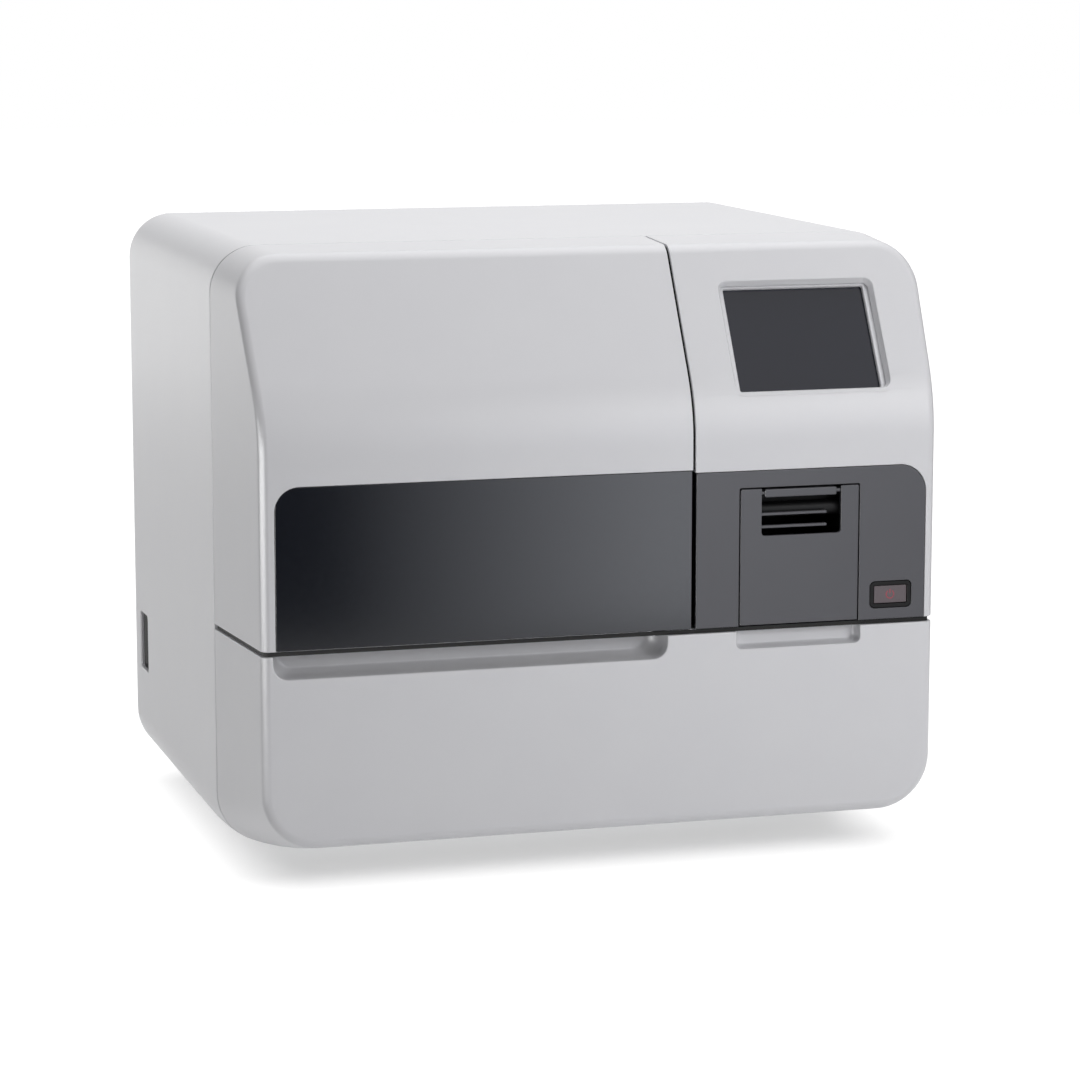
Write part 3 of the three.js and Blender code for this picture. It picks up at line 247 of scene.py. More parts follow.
def copy_of(thing, name):
    double = thing.copy()
    double.data = thing.data.copy()
    double.name = name
    bpy.context.scene.collection.objects.link(double)
    return double


def soften(thing, width, angle=40, segments=2):
    """Round the sharp edges by a small width."""
    rounding = thing.modifiers.new("edges", "BEVEL")
    rounding.width = METRES * width
    rounding.segments = segments
    rounding.limit_method = "ANGLE"
    rounding.angle_limit = math.radians(angle)
    rounding.use_clamp_overlap = True
    return bake_modifiers(thing)


def settle(thing, body, slot, *stands_for, finish=None, angle=32):
    """Smooth shading between sharp edges, normals held flat by large faces, then body, and the slot's
    material or the finish given.
    """
    mesh = thing.data
    mesh.name = thing.name
    mesh.shade_smooth()
    mesh.set_sharp_from_angle(angle=math.radians(angle))
    weigh = thing.modifiers.new("normals", "WEIGHTED_NORMAL")
    weigh.keep_sharp = True
    weigh.weight = 60
    mesh.materials.clear()
    mesh.materials.append(finish or SLOT_FINISH[slot])
    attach(thing, body)
    if stands_for:
        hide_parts(*stands_for)
    return thing


def block(name, xs, ys, zs):
    """A plain box used to trim shells."""
    x, y, z = (np.array(pair) for pair in (xs, ys, zs))
    ring = np.stack([x[[0, 1, 1, 0]], y[[0, 0, 1, 1]]], -1)
    rings = np.stack([np.concatenate([ring, np.full((4, 1), level)], 1) for level in z])
    return loft(name, rings)


# Outlines and profiles
CORNER_STEPS = 14
RIM_STEPS = 11
LEAST_BEND = 0.02
FLARE_REACH = 0.6


def quarter(count):
    return np.linspace(0, math.pi / 2, count)


def circle(count):
    return np.linspace(0, 2 * math.pi, count, endpoint=False)


def rounded_outline(us, vs, radii, inset=0.0, steps=CORNER_STEPS):
    """Points round a rectangle with four corner arcs, from the lower left, all moved in by inset."""
    turns = quarter(steps)
    corners = [(0, 0, math.pi), (1, 0, 1.5 * math.pi), (1, 1, 0.0), (0, 1, math.pi / 2)]
    points = []
    for (right, upper, start), radius in zip(corners, np.broadcast_to(radii, 4)):
        bend = max(radius - inset, LEAST_BEND)
        u = us[right] + (1 - 2 * right) * (inset + bend)
        v = vs[upper] + (1 - 2 * upper) * (inset + bend)
        points.append(np.stack([u + bend * np.cos(start + turns), v + bend * np.sin(start + turns)], -1))
    return np.concatenate(points)


def round_edge(radius, steps=5, start=0.0):
    """Steps of a quarter round from the face to the side: how far in, and how deep."""
    turn = np.linspace(math.radians(start), math.pi / 2, steps)
    return [(radius * (1 - math.sin(a)), radius * (1 - math.cos(a))) for a in turn]


def on_front(u, v, depth):
    """Outline points on the upright face: u along X, v up, depth in from the front."""
    return np.stack([u, FRONT + depth + 0 * u, v], -1)


def plate(name, us, vs, radii, profile, place=on_front, steps=CORNER_STEPS):
    """A solid whose outline keeps its corner arcs while a profile of insets and depths carries it inwards."""
    rings = []
    for inset, depth in profile:
        outline = rounded_outline(us, vs, radii, inset, steps)
        rings.append(place(outline[:, 0], outline[:, 1], depth))
    return loft(name, np.stack(rings))


def slab(radius, thick, back_radius=None, start=0.0):
    """Profile of a plate from one depth to another with rounded edges in front, and behind where asked."""
    profile = [(inset, start + depth) for inset, depth in round_edge(radius)]
    if back_radius:
        back = reversed(round_edge(back_radius))
        return profile + [(inset, start + thick - depth) for inset, depth in back]
    return profile + [(0.0, start + thick)]


def mouth(lip, depth, bottom, lean_out=22.0):
    """Profile of a cutter: a flared mouth that leaves a rounded lip, straight walls and a rounded bottom."""
    arc = [(-inset, down) for inset, down in round_edge(lip, 6, lean_out)]
    flare = (arc[0][0] - FLARE_REACH / math.tan(math.radians(lean_out)), arc[0][1] - FLARE_REACH)
    floor = [(0.0, depth)]
    if bottom:
        floor = [(bottom - inset, depth - down) for inset, down in reversed(round_edge(bottom, 6))]
    return [flare] + arc + [step for step in floor if step[1] > arc[-1][1]]


def carried(profile, centre, axis, sides):
    """Points of a profile of radii and places along an axis, at even angles round it."""
    angles = circle(sides)
    radius, along = (np.array(values)[:, None] for values in zip(*profile))
    across, other = radius * np.cos(angles), radius * np.sin(angles)
    along = along + 0 * across
    order = {"x": (along, across, other), "y": (other, along, across), "z": (across, other, along)}[axis]
    return np.stack(order, -1) + np.array(centre)


def turned(name, profile, centre, axis, sides=48):
    """A round part with flat ends: a profile turned through a full circle."""
    return loft(name, carried(profile, centre, axis, sides))


def revolved(name, section, centre, axis, sides=64):
    """A ring: a closed section carried round the axis."""
    return loft(name, carried(section, centre, axis, sides).swapaxes(0, 1), wrap=True)


# Body form: a stack of rings from the face to the rear
BEND_LEVELS = np.linspace(BEND_Z - BEND_HALF, BEND_Z + BEND_HALF, 17)
SEAM_LEVELS = [LOWER_TOP - 10, LOWER_TOP - 2, UPPER_LOW + 2, UPPER_LOW + 10]


def half_ring(depth_of, inset):
    """Left half of a ring, up the side from keel to roof with two corner arcs; depth_of gives y from z."""
    turn = quarter(CORNER_STEPS)
    low_z = keel_z(depth_of(np.array(FLOOR))) + inset
    top_z = roof_z(depth_of(np.array(ROOF))) - inset
    low_radius = max(KEEL_RADIUS - inset, WALL)
    top_radius = max(ROOF_RADIUS - inset, WALL)
    middle = np.concatenate([SEAM_LEVELS, BEND_LEVELS])
    z = np.concatenate([
        low_z + low_radius * (1 - np.cos(turn)),
        middle,
        (top_z - top_radius * (1 - np.cos(turn)))[::-1],
    ])
    cut_in = np.concatenate([
        low_radius * (1 - np.sin(turn)),
        np.zeros(len(middle)),
        (top_radius * (1 - np.sin(turn)))[::-1],
    ])
    y = depth_of(z)
    return np.stack([-(half_width(y) - inset - cut_in), y, z], -1)


def ring_of(depth_of, inset):
    """A whole ring: the left half and its mirror image, run back down."""
    left = half_ring(depth_of, inset)
    return np.concatenate([left, (left * np.array([-1, 1, 1]))[::-1]])


def even_depth(y):
    return lambda z: y + 0 * z


def front_rings(skin, end, end_round=0.0):
    """Rings of the front: a quarter round rim, flanks that straighten out, and an end, rounded if asked."""
    rim = max(RIM_RADIUS - skin, WALL)
    rings = []
    for turn in quarter(RIM_STEPS):
        back, inset = rim * (1 - math.cos(turn)), skin + rim * (1 - math.sin(turn))
        rings.append(ring_of(lambda z, back=back: face_y(z) + skin + back, inset))
    last = end - end_round
    for share in np.linspace(0, 1, 9)[1:]:
        def flank(z, share=share):
            return (face_y(z) + skin + rim) * (1 - share) + last * share
        rings.append(ring_of(flank, skin))
    for inset, depth in reversed(round_edge(end_round, 4)[:-1] if end_round else []):
        rings.append(ring_of(even_depth(end - depth), skin + inset))
    return rings


def rear_rings(skin, start, end, start_round=0.0, end_round=0.0):
    """Rings of the rear: even sections along the chin's end and the sides, rounded at the ends if asked."""
    rings = []
    for inset, depth in (round_edge(start_round, 4)[:-1] if start_round else []):
        rings.append(ring_of(even_depth(start + depth), skin + inset))
    last = end - end_round
    for y in (start + start_round, (start + CHIN_START) / 2, CHIN_START, 0.0, last - 10, last):
        rings.append(ring_of(even_depth(y), skin))
    for inset, depth in reversed(round_edge(end_round, 5)[:-1] if end_round else []):
        rings.append(ring_of(even_depth(end - depth), skin + inset))
    return rings


def body_form(name, rings):
    """A solid through rings that are each a left half and a right half, with ends of level strips."""
    rings = np.stack(rings)
    count, around = rings.shape[:2]
    step = np.arange(around // 2 - 1)
    strip = np.stack([step, step + 1, around - 2 - step, around - 1 - step], -1)
    faces = ring_quads(count, around) + strip.tolist() + (strip + (count - 1) * around).tolist()
    return new_object(name, rings, faces)


def ribbon(name, path, out, across, section):
    """A band along a path: a section of depths under the surface and half widths across, carried along."""
    rings = path[:, None] - out[:, None] * section[:, :1] + across * section[:, 1:]
    return loft(name, rings)


# Materials
def linear(code):
    """sRGB hex to linear, with alpha."""
    parts = [int(code[i:i + 2], 16) / 255 for i in (1, 3, 5)]
    return [p / 12.92 if p <= 0.04045 else ((p + 0.055) / 1.055) ** 2.4 for p in parts] + [1.0]


def add(tree, kind, inputs=None, **settings):
    """One shader node with its settings, values and links."""
    made = tree.nodes.new("ShaderNode" + kind)
    for key, value in settings.items():
        setattr(made, key, value)
    for key, value in (inputs or {}).items():
        if isinstance(value, bpy.types.NodeSocket):
            tree.links.new(value, made.inputs[key])
        else:
            made.inputs[key].default_value = value
    return made


def finish_of(
        name, colour, second, roughness, grain_mm, relief_mm,
        rough_span=0.06, mottle_mm=60, metallic=0.0, **shader):
    """A surface of two close colours in soft mottles, with a fine grain in its relief and gloss."""
    made = bpy.data.materials.new(name)
    made.use_nodes = True
    tree = made.node_tree
    shading = tree.nodes["Principled BSDF"]
    place = add(tree, "TexCoord").outputs["Object"]
    mottle = add(tree, "TexNoise", {"Vector": place, "Scale": 1 / (mottle_mm * METRES), "Detail": 3.0})
    grain = add(tree, "TexNoise", {"Vector": place, "Scale": 1 / (grain_mm * METRES), "Detail": 2.0})
    colours = add(tree, "Mix", {
        "Factor": mottle.outputs["Fac"], "A": linear(colour), "B": linear(second)}, data_type="RGBA")
    gloss = add(tree, "MapRange", {
        "Value": grain.outputs["Fac"], "From Min": 0.3, "From Max": 0.7,
        "To Min": roughness - rough_span / 2, "To Max": roughness + rough_span / 2})
    bump = add(tree, "Bump", {
        "Height": grain.outputs["Fac"], "Strength": 1.0, "Distance": relief_mm * METRES})
    tree.links.new(colours.outputs["Result"], shading.inputs["Base Color"])
    tree.links.new(gloss.outputs["Result"], shading.inputs["Roughness"])
    tree.links.new(bump.outputs["Normal"], shading.inputs["Normal"])
    shading.inputs["Metallic"].default_value = metallic
    for key, value in shader.items():
        shading.inputs[key.replace("_", " ")].default_value = value
    return made


# Each real material with two close colours, roughness, grain and relief in mm, and what else differs
SLOT_FINISH = {
    # ABS from a spark-eroded mould, pale with a silky sheen; its 0.5 mm grain is drawn as 1.2 mm
    "housing_plastic": finish_of("moulded_abs_pale", "#dcdcdf", "#d8d8dc", 0.36, 1.2, 0.012),
    # Cast and polished sheet, near black with a clear, glossy face
    "smoked_acrylic": finish_of("cast_acrylic_smoked", "#0b0f18", "#0d111a", 0.14, 3.0, 0.0, rough_span=0.02),
    # The same ABS in dark grey, satin
    "dark_panel_plastic": finish_of("moulded_abs_dark", "#46464b", "#434348", 0.36, 1.2, 0.01),
    # Glass-filled nylon: dull
    "black_plastic": finish_of("moulded_nylon_black", "#111113", "#151517", 0.5, 1.0, 0.015),
    # Hard coated glass over an unlit display
    "display_glass": finish_of("touch_glass_slate", "#1c1d27", "#1e202b", 0.12, 4.0, 0.0, rough_span=0.02),
    "button_plastic": finish_of("polycarbonate_cap", "#5a5054", "#564c50", 0.3, 1.0, 0.004),
    "rubber": finish_of("nitrile_rubber", "#121212", "#161616", 0.8, 0.8, 0.02, Specular_IOR_Level=0.25),
    # Clear passivation: soft grey with a faint spangle
    "sheet_metal": finish_of(
        "zinc_plated_sheet", "#b7babd", "#a9adb1", 0.38, 2.0, 0.006, mottle_mm=14, metallic=1.0),
    "steel": finish_of(
        "ground_stainless", "#c6c9cc", "#bcc0c4", 0.25, 1.0, 0.003, mottle_mm=20, metallic=1.0),
    # Bead blasted before anodising
    "aluminium": finish_of(
        "anodised_aluminium", "#cdd0d4", "#c6cace", 0.45, 0.8, 0.008, mottle_mm=30, metallic=1.0),
    "white_plastic": finish_of("acetal_white", "#ecebe6", "#e8e7e1", 0.45, 1.0, 0.006),
    "grey_plastic": finish_of("polypropylene_grey", "#7e8388", "#797e83", 0.5, 1.0, 0.01),
    "paper": finish_of("thermal_paper", "#f1efe9", "#edebe4", 0.85, 0.7, 0.01),
    # Solder mask over a fibreglass board
    "circuit_board": finish_of("solder_mask_green", "#1d5a3a", "#1a5235", 0.35, 2.0, 0.01),
}
# Deep black, smoother nylon of the button's frame; on the printer's body and platen the same deep black also
# paints the shade inside the paper slot
BEZEL_AND_SLOT_SHADE = finish_of("deep_black_nylon_and_slot_shade", "#020203", "#030304", 0.5, 1.0, 0.006, Specular_IOR_Level=0.2)
# Translucent red inlay of the power mark
MARK = finish_of("polycarbonate_red", "#a03a4a", "#983545", 0.35, 1.0, 0.002)
# Closed-cell foam of the light seals; its near black in the front seams also paints the shade in their gaps
SEAL_AND_SEAM_SHADE = finish_of("closed_cell_foam_and_seam_shade", "#0c0c0c", "#101010", 0.9, 0.8, 0.02)
# Powder coated steel, pale grey, of the rear panel and the walls inside
COATED = finish_of("powder_coated_steel", "#c9cacc", "#c5c6c9", 0.55, 0.9, 0.02)
for part in frame["record"]["subparts"]:
    piece = nodes[part["node"]]
    piece.data.materials.clear()
    piece.data.materials.append(SLOT_FINISH[part["material_slot"]])


# Shapes for the inner and rear pieces
BODY_OF = {node: body for body, members in frame["record"]["behaviour"]["bodies"].items() for node in members}
SLOT_OF = {part["node"]: part["material_slot"] for part in frame["record"]["subparts"]}


def about(axis, first, second):
    """A place on the line along an axis through the two other coordinates."""
    return {"x": (0, first, second), "y": (first, 0, second), "z": (first, second, 0)}[axis]


def axis_of(node, axis):
    """A place on a node's middle line along an axis."""
    return about(axis, *(mid(span(node, other)) for other in "xyz" if other != axis))


def grid(firsts, seconds):
    return [(first, second) for first in firsts for second in seconds]


def steps(start, *points):
    """Profile points, given in millimetres, with their places counted from a start."""
    return [(radius, start + along) for radius, along in points]


def facing(axis, start, way=1):
    """Outlines across an axis, with their depth counted from a start, forwards or backwards."""
    def place(u, v, depth):
        level = start + way * depth + 0 * u
        return np.stack({"x": (level, u, v), "y": (u, level, v), "z": (u, v, level)}[axis], -1)
    return place


def rounded_block(name, xs, ys, zs, corner, edge, along="z"):
    """A block whose outline across one axis has round corners, with both ends eased by a quarter round."""
    us, vs, (start, end) = {"x": (ys, zs, xs), "y": (xs, zs, ys), "z": (xs, ys, zs)}[along]
    return plate(name, us, vs, corner, slab(edge, end - start, edge), facing(along, start), 7)


def pocket(thing, us, vs, corner, profile, place, fine=8):
    """Cut an opening with round corners that follows a profile of insets and depths."""
    return cut(thing, plate("pocket", us, vs, corner, profile, place, fine))


def bore(thing, centre, axis, radius, ends, sides):
    """Cut a plain round hole between two ends."""
    return cut(thing, turned("bore", [(radius, end) for end in ends], centre, axis, sides))


def drill(thing, centre, axis, radius, bottom, top, flare=0.5, sides=40):
    """Cut a round hole from its bottom to its top, where the mouth widens by a chamfer."""
    out = 1 if top > bottom else -1
    wide = radius + flare
    profile = [(radius, bottom), (radius, top - out * flare), (wide, top), (wide, top + out * OVERRUN)]
    return cut(thing, turned("bore", profile, centre, axis, sides))


def joined(things):
    first, *rest = things
    return join(first, *rest)


def screw(name, centre, axis, face, out, radius):
    """A button head screw: a low dome turned from its profile, with a six-sided socket."""
    tall = 0.6 * radius
    turns = np.linspace(0, 1.1, 5)
    dome = [(radius * math.cos(turn), face + out * (0.3 + 0.7 * math.sin(turn)) * tall) for turn in turns]
    head = turned(name, [(radius, face - out * 0.1)] + dome, centre, axis, 24)
    return bore(head, centre, axis, 0.45 * radius, (face + out * 0.35 * tall, face + out * 2 * radius), 6)


def screws(name, places, axis, face, radius=2.6, out=1, body="body"):
    heads = [screw(name, about(axis, *place), axis, face, out, radius) for place in places]
    settle(joined(heads), body, "steel")


def eased(node, width):
    """A merged copy of a CAD piece with its edges rounded."""
    mesh = nodes[node].data.copy()
    mesh.transform(nodes[node].matrix_world)
    edit = bmesh.new()
    edit.from_mesh(mesh)
    bmesh.ops.remove_doubles(edit, verts=edit.verts, dist=MERGE)
    bmesh.ops.dissolve_limit(edit, angle_limit=math.radians(1), verts=edit.verts, edges=edit.edges)
    edit.to_mesh(mesh)
    edit.free()
    piece = bpy.data.objects.new(node + "_eased", mesh)
    bpy.context.scene.collection.objects.link(piece)
    return soften(piece, width)


def settle_node(thing, node, **settings):
    """Settle a piece with the body and the slot of the CAD piece that it stands for."""
    return settle(thing, BODY_OF[node], SLOT_OF[node], node, **settings)


# Outer shells
GRIP_X = (-263, 50)
GRIP = {"low": LOWER_TOP - 18, "deep": 24, "bend": 12, "lip": 1.2}
GRIP_CLOSE = (9, 13, 5)
RELIEF_X = (106.5, 210)
RELIEF = {"low": LOWER_TOP - 14, "deep": 11, "bend": 5, "lip": 1}
RELIEF_CLOSE = (7, 4, 3)
LEDGE = 38
FLANGE = 15
FLANGE_STOP = 3
SEAM_LIP = 8
WINDOW_LEFT = -261
WINDOW_TOP = 318
WINDOW_RADIUS = 19
DARK_RIGHT = 264
DARK_TOP = 316
DARK_RADIUS = 22
INNER_FRAME_TOP = high("cover_inner_frame", "z")


def groove_section(width, depth):
    """A slot with a flared mouth, as depths and sideways places: in along one side, out along the other."""
    side = np.array([(down, width / 2 - inset) for inset, down in mouth(EDGE, depth, 0.0)])
    return np.concatenate([side, (side * np.array([1, -1]))[::-1]])


def flat_section(first, last, width):
    """A flat strip that lies between two depths."""
    side = width / 2
    return np.array([(first, side), (last, side), (last, -side), (first, -side)])


def with_normals(path, turned_by):
    """A path and its normals, which are its own direction carried through a matrix."""
    out = np.gradient(path, axis=0) @ np.array(turned_by).T
    return path, out / np.linalg.norm(out, axis=1)[:, None]


def plan_path(z):
    """Outline of the front body at a height, from the left round the face to the right, with its normals."""
    left = np.stack(front_rings(0.0, SEAM_Y + SEAM_HALF))[:, CORNER_STEPS + 1][::-1].copy()
    left[:, 2] = z
    path = np.concatenate([left, left[::-1] * np.array([-1, 1, 1])])
    return with_normals(path, [(0, 1, 0), (-1, 0, 0), (0, 0, 0)])


def crown_path(x, start_z, end_y):
    """The body's profile at one width, up the face, over the bend and the top rim and back along the roof."""
    turn = quarter(RIM_STEPS)
    back = RIM_RADIUS * (1 - np.cos(turn))
    top = roof_z(face_y(np.array(ROOF)) + back) - RIM_RADIUS * (1 - np.sin(turn))
    rim_y = face_y(top) + back
    roof_y = np.linspace(rim_y[-1], end_y, 6)[1:]
    z = np.concatenate([[start_z], BEND_LEVELS])
    y = np.concatenate([face_y(z), rim_y, roof_y])
    path = np.stack([x + 0 * y, y, np.concatenate([z, top, roof_z(roof_y)])], -1)
    return with_normals(path, [(0, 0, 0), (0, 0, -1), (0, 1, 0)])


UP = np.array([0.0, 0.0, 1.0])
SIDEWAYS = np.array([1.0, 0.0, 0.0])
BACKWARD = np.array([0.0, 1.0, 0.0])


def across_seam(name, section, z=SEAM_Z):
    path, out = plan_path(z)
    return ribbon(name, path, out, UP, section)


def upright_seam(name, section, x=SEAM_X, start_z=SEAM_Z, end_y=COVER_BACK + OVERRUN):
    path, out = crown_path(x, start_z, end_y)
    return ribbon(name, path, out, SIDEWAYS, section)


def hollow(name, skin):
    """The body form under a skin, running out of the open rear."""
    return body_form(name, front_rings(skin, SEAM_Y) + rear_rings(skin, SEAM_Y, REAR + OVERRUN)[1:])


def layer(name, outer, inner, xs=EVERYWHERE, ys=EVERYWHERE, zs=EVERYWHERE):
    """What lies between two skins of the body form, inside a zone."""
    solid = hollow(name, outer)
    trim(solid, block("zone", xs, ys, zs))
    return cut(solid, hollow("inside", inner))


def scoop(name, xs, size, close):
    """A cutter for a finger recess: its left, right and lower sides close in on quarter ellipses."""
    left, right, below = close
    start = 2 * size["lip"]
    lip = mouth(size["lip"], start, 0.0)
    rings = [(inset, inset, inset, down, size["bend"] - inset) for inset, down in lip]
    for turn in quarter(CORNER_STEPS)[2:]:
        share = 1 - math.cos(turn)
        down = start + (size["deep"] - start) * math.sin(turn)
        rings.append((left * share, right * share, below * share, down, size["bend"]))
    top = LOWER_TOP + 3 * OVERRUN
    solid = []
    for in_left, in_right, in_low, down, bend in rings:
        us, vs = (xs[0] + in_left, xs[1] - in_right), (size["low"] + in_low, top)
        outline = rounded_outline(us, vs, (bend, bend, 0, 0))
        solid.append(on_front(outline[:, 0], outline[:, 1], down))
    return loft(name, np.stack(solid))


def make_front_shells():
    """Lower cover, light shield cover and right panel, cut from one shell by seams with rounded lips."""
    shell = body_form("front", front_rings(0.0, COVER_BACK, EDGE))
    cut(shell, hollow("inside", WALL))
    lower = copy_of(shell, "lower_front_cover_shell")
    cover = copy_of(shell, "light_shield_cover_shell")
    panel = shell
    panel.name = "right_front_panel_shell"

    trim(lower, block("zone", EVERYWHERE, EVERYWHERE, (-FAR, LOWER_TOP)))
    before = (-FAR, COVER_BACK - GAP)
    join(lower, layer("ledge", EDGE, LEDGE, ys=before, zs=(LOWER_TOP - WALL, LOWER_TOP)))
    join(lower, layer("lip", WALL + GAP, 2 * WALL, ys=before, zs=(LOWER_TOP - 2 * WALL, UPPER_LOW - GAP)))
    for xs, size in ((GRIP_X, GRIP), (RELIEF_X, RELIEF)):
        zone = (wider(xs, WALL), (-FAR, FRONT + size["deep"] + WALL), (size["low"] - WALL, LOWER_TOP))
        join(lower, trim(hollow("lining", EDGE), block("zone", *zone)))
    seam = groove_section(FRONT_SEAM - 0.1 * GAP, 3 * EDGE)
    cut(lower, across_seam("groove", seam))
    cut(lower, scoop("grip", GRIP_X, GRIP, GRIP_CLOSE), scoop("relief", RELIEF_X, RELIEF, RELIEF_CLOSE))
    settle(lower, "body", "housing_plastic", "lower_front_cover")

    notch = mouth(0.6, WALL + GAP, 0.0)
    flange_y = (-FAR, COVER_BACK - FLANGE_STOP)
    for piece, xs, edge_x, edge_low, window_x, top, radii in (
        (cover, (-FAR, COVER_RIGHT), (COVER_RIGHT - WALL, COVER_RIGHT), INNER_FRAME_TOP,
         (WINDOW_LEFT, FAR), WINDOW_TOP, (0, 0, 0, WINDOW_RADIUS)),
        (panel, (PANEL_LEFT, FAR), (PANEL_LEFT, PANEL_LEFT + WALL), DARK_TOP,
         (-FAR, DARK_RIGHT), DARK_TOP, (0, 0, DARK_RADIUS, 0)),
    ):
        trim(piece, block("zone", xs, EVERYWHERE, (UPPER_LOW, FAR)))
        join(piece, layer("flange", EDGE, FLANGE, edge_x, flange_y, (edge_low + GAP, FAR)))
        cut(piece, across_seam("groove", seam))
        cut(piece, upright_seam("groove", groove_section(2 * SEAM_HALF - 0.1 * GAP, 3 * EDGE)))
        cut(piece, plate("notch", window_x, (-FAR, top), radii, notch))
    settle(cover, "cover", "housing_plastic", "light_shield_cover")
    return panel


# Display on the leaning part of the face
GLASS_DEPTH = 11.3
DISPLAY_WIDE, DISPLAY_TALL = near(0, 64.5), near(0, 47.5)
DISPLAY_DEEP = 7
DISPLAY_BEND = 7
TOUCH_WIDE, TOUCH_TALL = near(0, 60.25), near(0, 45.75)
TOUCH_LAP = 1.5
TOUCH_THICK = 2
TOUCH_DEPTH = 10.3
DISPLAY_SHIFT = (2.2, 2.6)
UP_SLOPE = np.array([0.0, math.sin(LEAN_ANGLE), math.cos(LEAN_ANGLE)])
INTO_SLOPE = np.array([0.0, math.cos(LEAN_ANGLE), -math.sin(LEAN_ANGLE)])
DISPLAY_CENTRE = np.array([mid(pair) for pair in spans("touch_glass")]) - GLASS_DEPTH * INTO_SLOPE
DISPLAY_CENTRE += DISPLAY_SHIFT[0] * SIDEWAYS + DISPLAY_SHIFT[1] * UP_SLOPE


def on_lean(u, v, depth):
    """Outline points on the leaning face about the display's middle: u along X, v up the slope, depth in."""
    u, v, depth = (np.array(values)[..., None] for values in np.broadcast_arrays(u, v, depth))
    return DISPLAY_CENTRE + u * SIDEWAYS + v * UP_SLOPE + depth * INTO_SLOPE


def make_display(panel):
    """Sink the display's frame into the right panel, and lay the touch glass behind it."""
    lining = [(0.0, 1.5), (0.0, DISPLAY_DEEP + WALL)]
    outer = (wider(DISPLAY_WIDE, WALL), wider(DISPLAY_TALL, WALL), DISPLAY_BEND + WALL)
    join(panel, plate("lining", *outer, lining, on_lean))
    sunk = mouth(1.3, DISPLAY_DEEP, 2)
    cut(panel, plate("sunk", DISPLAY_WIDE, DISPLAY_TALL, DISPLAY_BEND, sunk, on_lean))
    opening = (wider(TOUCH_WIDE, -TOUCH_LAP), wider(TOUCH_TALL, -TOUCH_LAP), TOUCH_LAP)
    through = [(-0.8, DISPLAY_DEEP - 0.6), (0.0, DISPLAY_DEEP + 0.5), (0.0, DISPLAY_DEEP + 2 * WALL)]
    cut(panel, plate("window", *opening, through, on_lean))
    settle(panel, "body", "housing_plastic", "right_front_panel")
    sheet = slab(0.3, TOUCH_THICK, start=TOUCH_DEPTH)
    glass = plate("touch_glass_sheet", TOUCH_WIDE, TOUCH_TALL, TOUCH_LAP, sheet, on_lean)
    settle(glass, "body", "display_glass", "touch_glass")


# Housing and the slot in its left side
SLOT_Y = (185, 220)
SLOT_Z = (94, 144)
SLOT_BEND = 4
CUP_DEEP = 12
CUP_WALL = 2


def on_left(u, v, depth):
    """Outline points on the left side: u along Y, v up, depth in."""
    return np.stack([-HALF_WIDTH + depth + 0 * u, u, v], -1)


def make_housing():
    """Sides and roof in one shell: a round rear rim, a lip behind the front covers, the slot, open below."""
    shell = body_form("main_housing_shell", rear_rings(0.0, HOUSING_FRONT, REAR, EDGE, REAR_EDGE))
    cut(shell, hollow("inside", WALL))
    above = (FLOOR + KEEL_RADIUS, FAR)
    lip_y = (COVER_BACK + GAP, HOUSING_FRONT + SEAM_LIP)
    join(shell, layer("lip", WALL + GAP, 2 * WALL, ys=lip_y, zs=above))
    behind = (HOUSING_FRONT + WALL, HOUSING_FRONT + SEAM_LIP)
    join(shell, layer("bridge", EDGE, WALL + 2 * GAP, ys=behind, zs=above))
    mouth_x = near(0, HALF_WIDTH - KEEL_RADIUS - 2)
    cut(shell, block("mouth", mouth_x, EVERYWHERE, (-FAR, FLOOR + WALL + CHIN_RISE / 2)))
    cut(shell, plate("slot", SLOT_Y, SLOT_Z, SLOT_BEND, mouth(1.2, WALL + GAP, 0.0), on_left))
    settle(shell, "body", "housing_plastic", "main_housing")


def make_side_cup():
    """A dark cup behind the slot, with a rounded bottom."""
    start = WALL + GAP
    end = start + CUP_DEEP
    outer = (wider(SLOT_Y, CUP_WALL), wider(SLOT_Z, CUP_WALL), SLOT_BEND + CUP_WALL)
    profile = [(0.0, start), (0.0, end - CUP_WALL), (CUP_WALL, end)]
    cup = plate("side_slot_cup_moulding", *outer, profile, on_left)
    inside = [(0.0, 0.0)] + [step for step in mouth(0.3, end - CUP_WALL, 3) if step[1] > start]
    cut(cup, plate("inside", SLOT_Y, SLOT_Z, SLOT_BEND, inside, on_left))
    settle(cup, "body", "black_plastic", "side_slot_cup")


# Window, dark panel, printer door and power button
TRIM = 1
DOOR_X, DOOR_Z = span("printer_door", "x"), span("printer_door", "z")
DOORWAY = wider(DOOR_X, 3 * GAP)
DOORWAY_TOP = DOOR_Z[1] + 3 * GAP
BUTTON_X, BUTTON_Z = span("power_button_frame", "x"), span("power_button_frame", "z")
BUTTON_BEND = 4
BUTTON_RIM = 3.2
BUTTON_SUNK = 0.8
PAPER_SLOT_X = (126.5, 192.5)
PAPER_SLOT_LOW = 264
RIB_TOPS = (282, 272)
RIB_TALL = 2.2
RIB_END = 181
CHEEK = 3
PIVOT = (FRONT + 7, UPPER_LOW + 6.5)
PLATEN = (FRONT + 13, DOORWAY_TOP - 19)
LEVER_X = (129, 188.6)
LEVER_Z = (294.3, 300.7)
LEVER_AXLE = (0, FRONT + 2.5, 297.7)
MARK_RADIUS = 3.2
MARK_LINE = 0.45
MARK_PROUD = 0.05


def make_window():
    """Smoked sheet with a polished round edge, a little short of the seam in the middle."""
    xs, zs = (WINDOW_LEFT + GAP, COVER_RIGHT - 0.8), (UPPER_LOW + 0.2, WINDOW_TOP - GAP)
    corners = (TRIM, TRIM, TRIM, WINDOW_RADIUS - GAP)
    window = plate("cover_window_sheet", xs, zs, corners, slab(0.5, WALL, 0.3))
    settle(window, "cover", "smoked_acrylic", "cover_window")


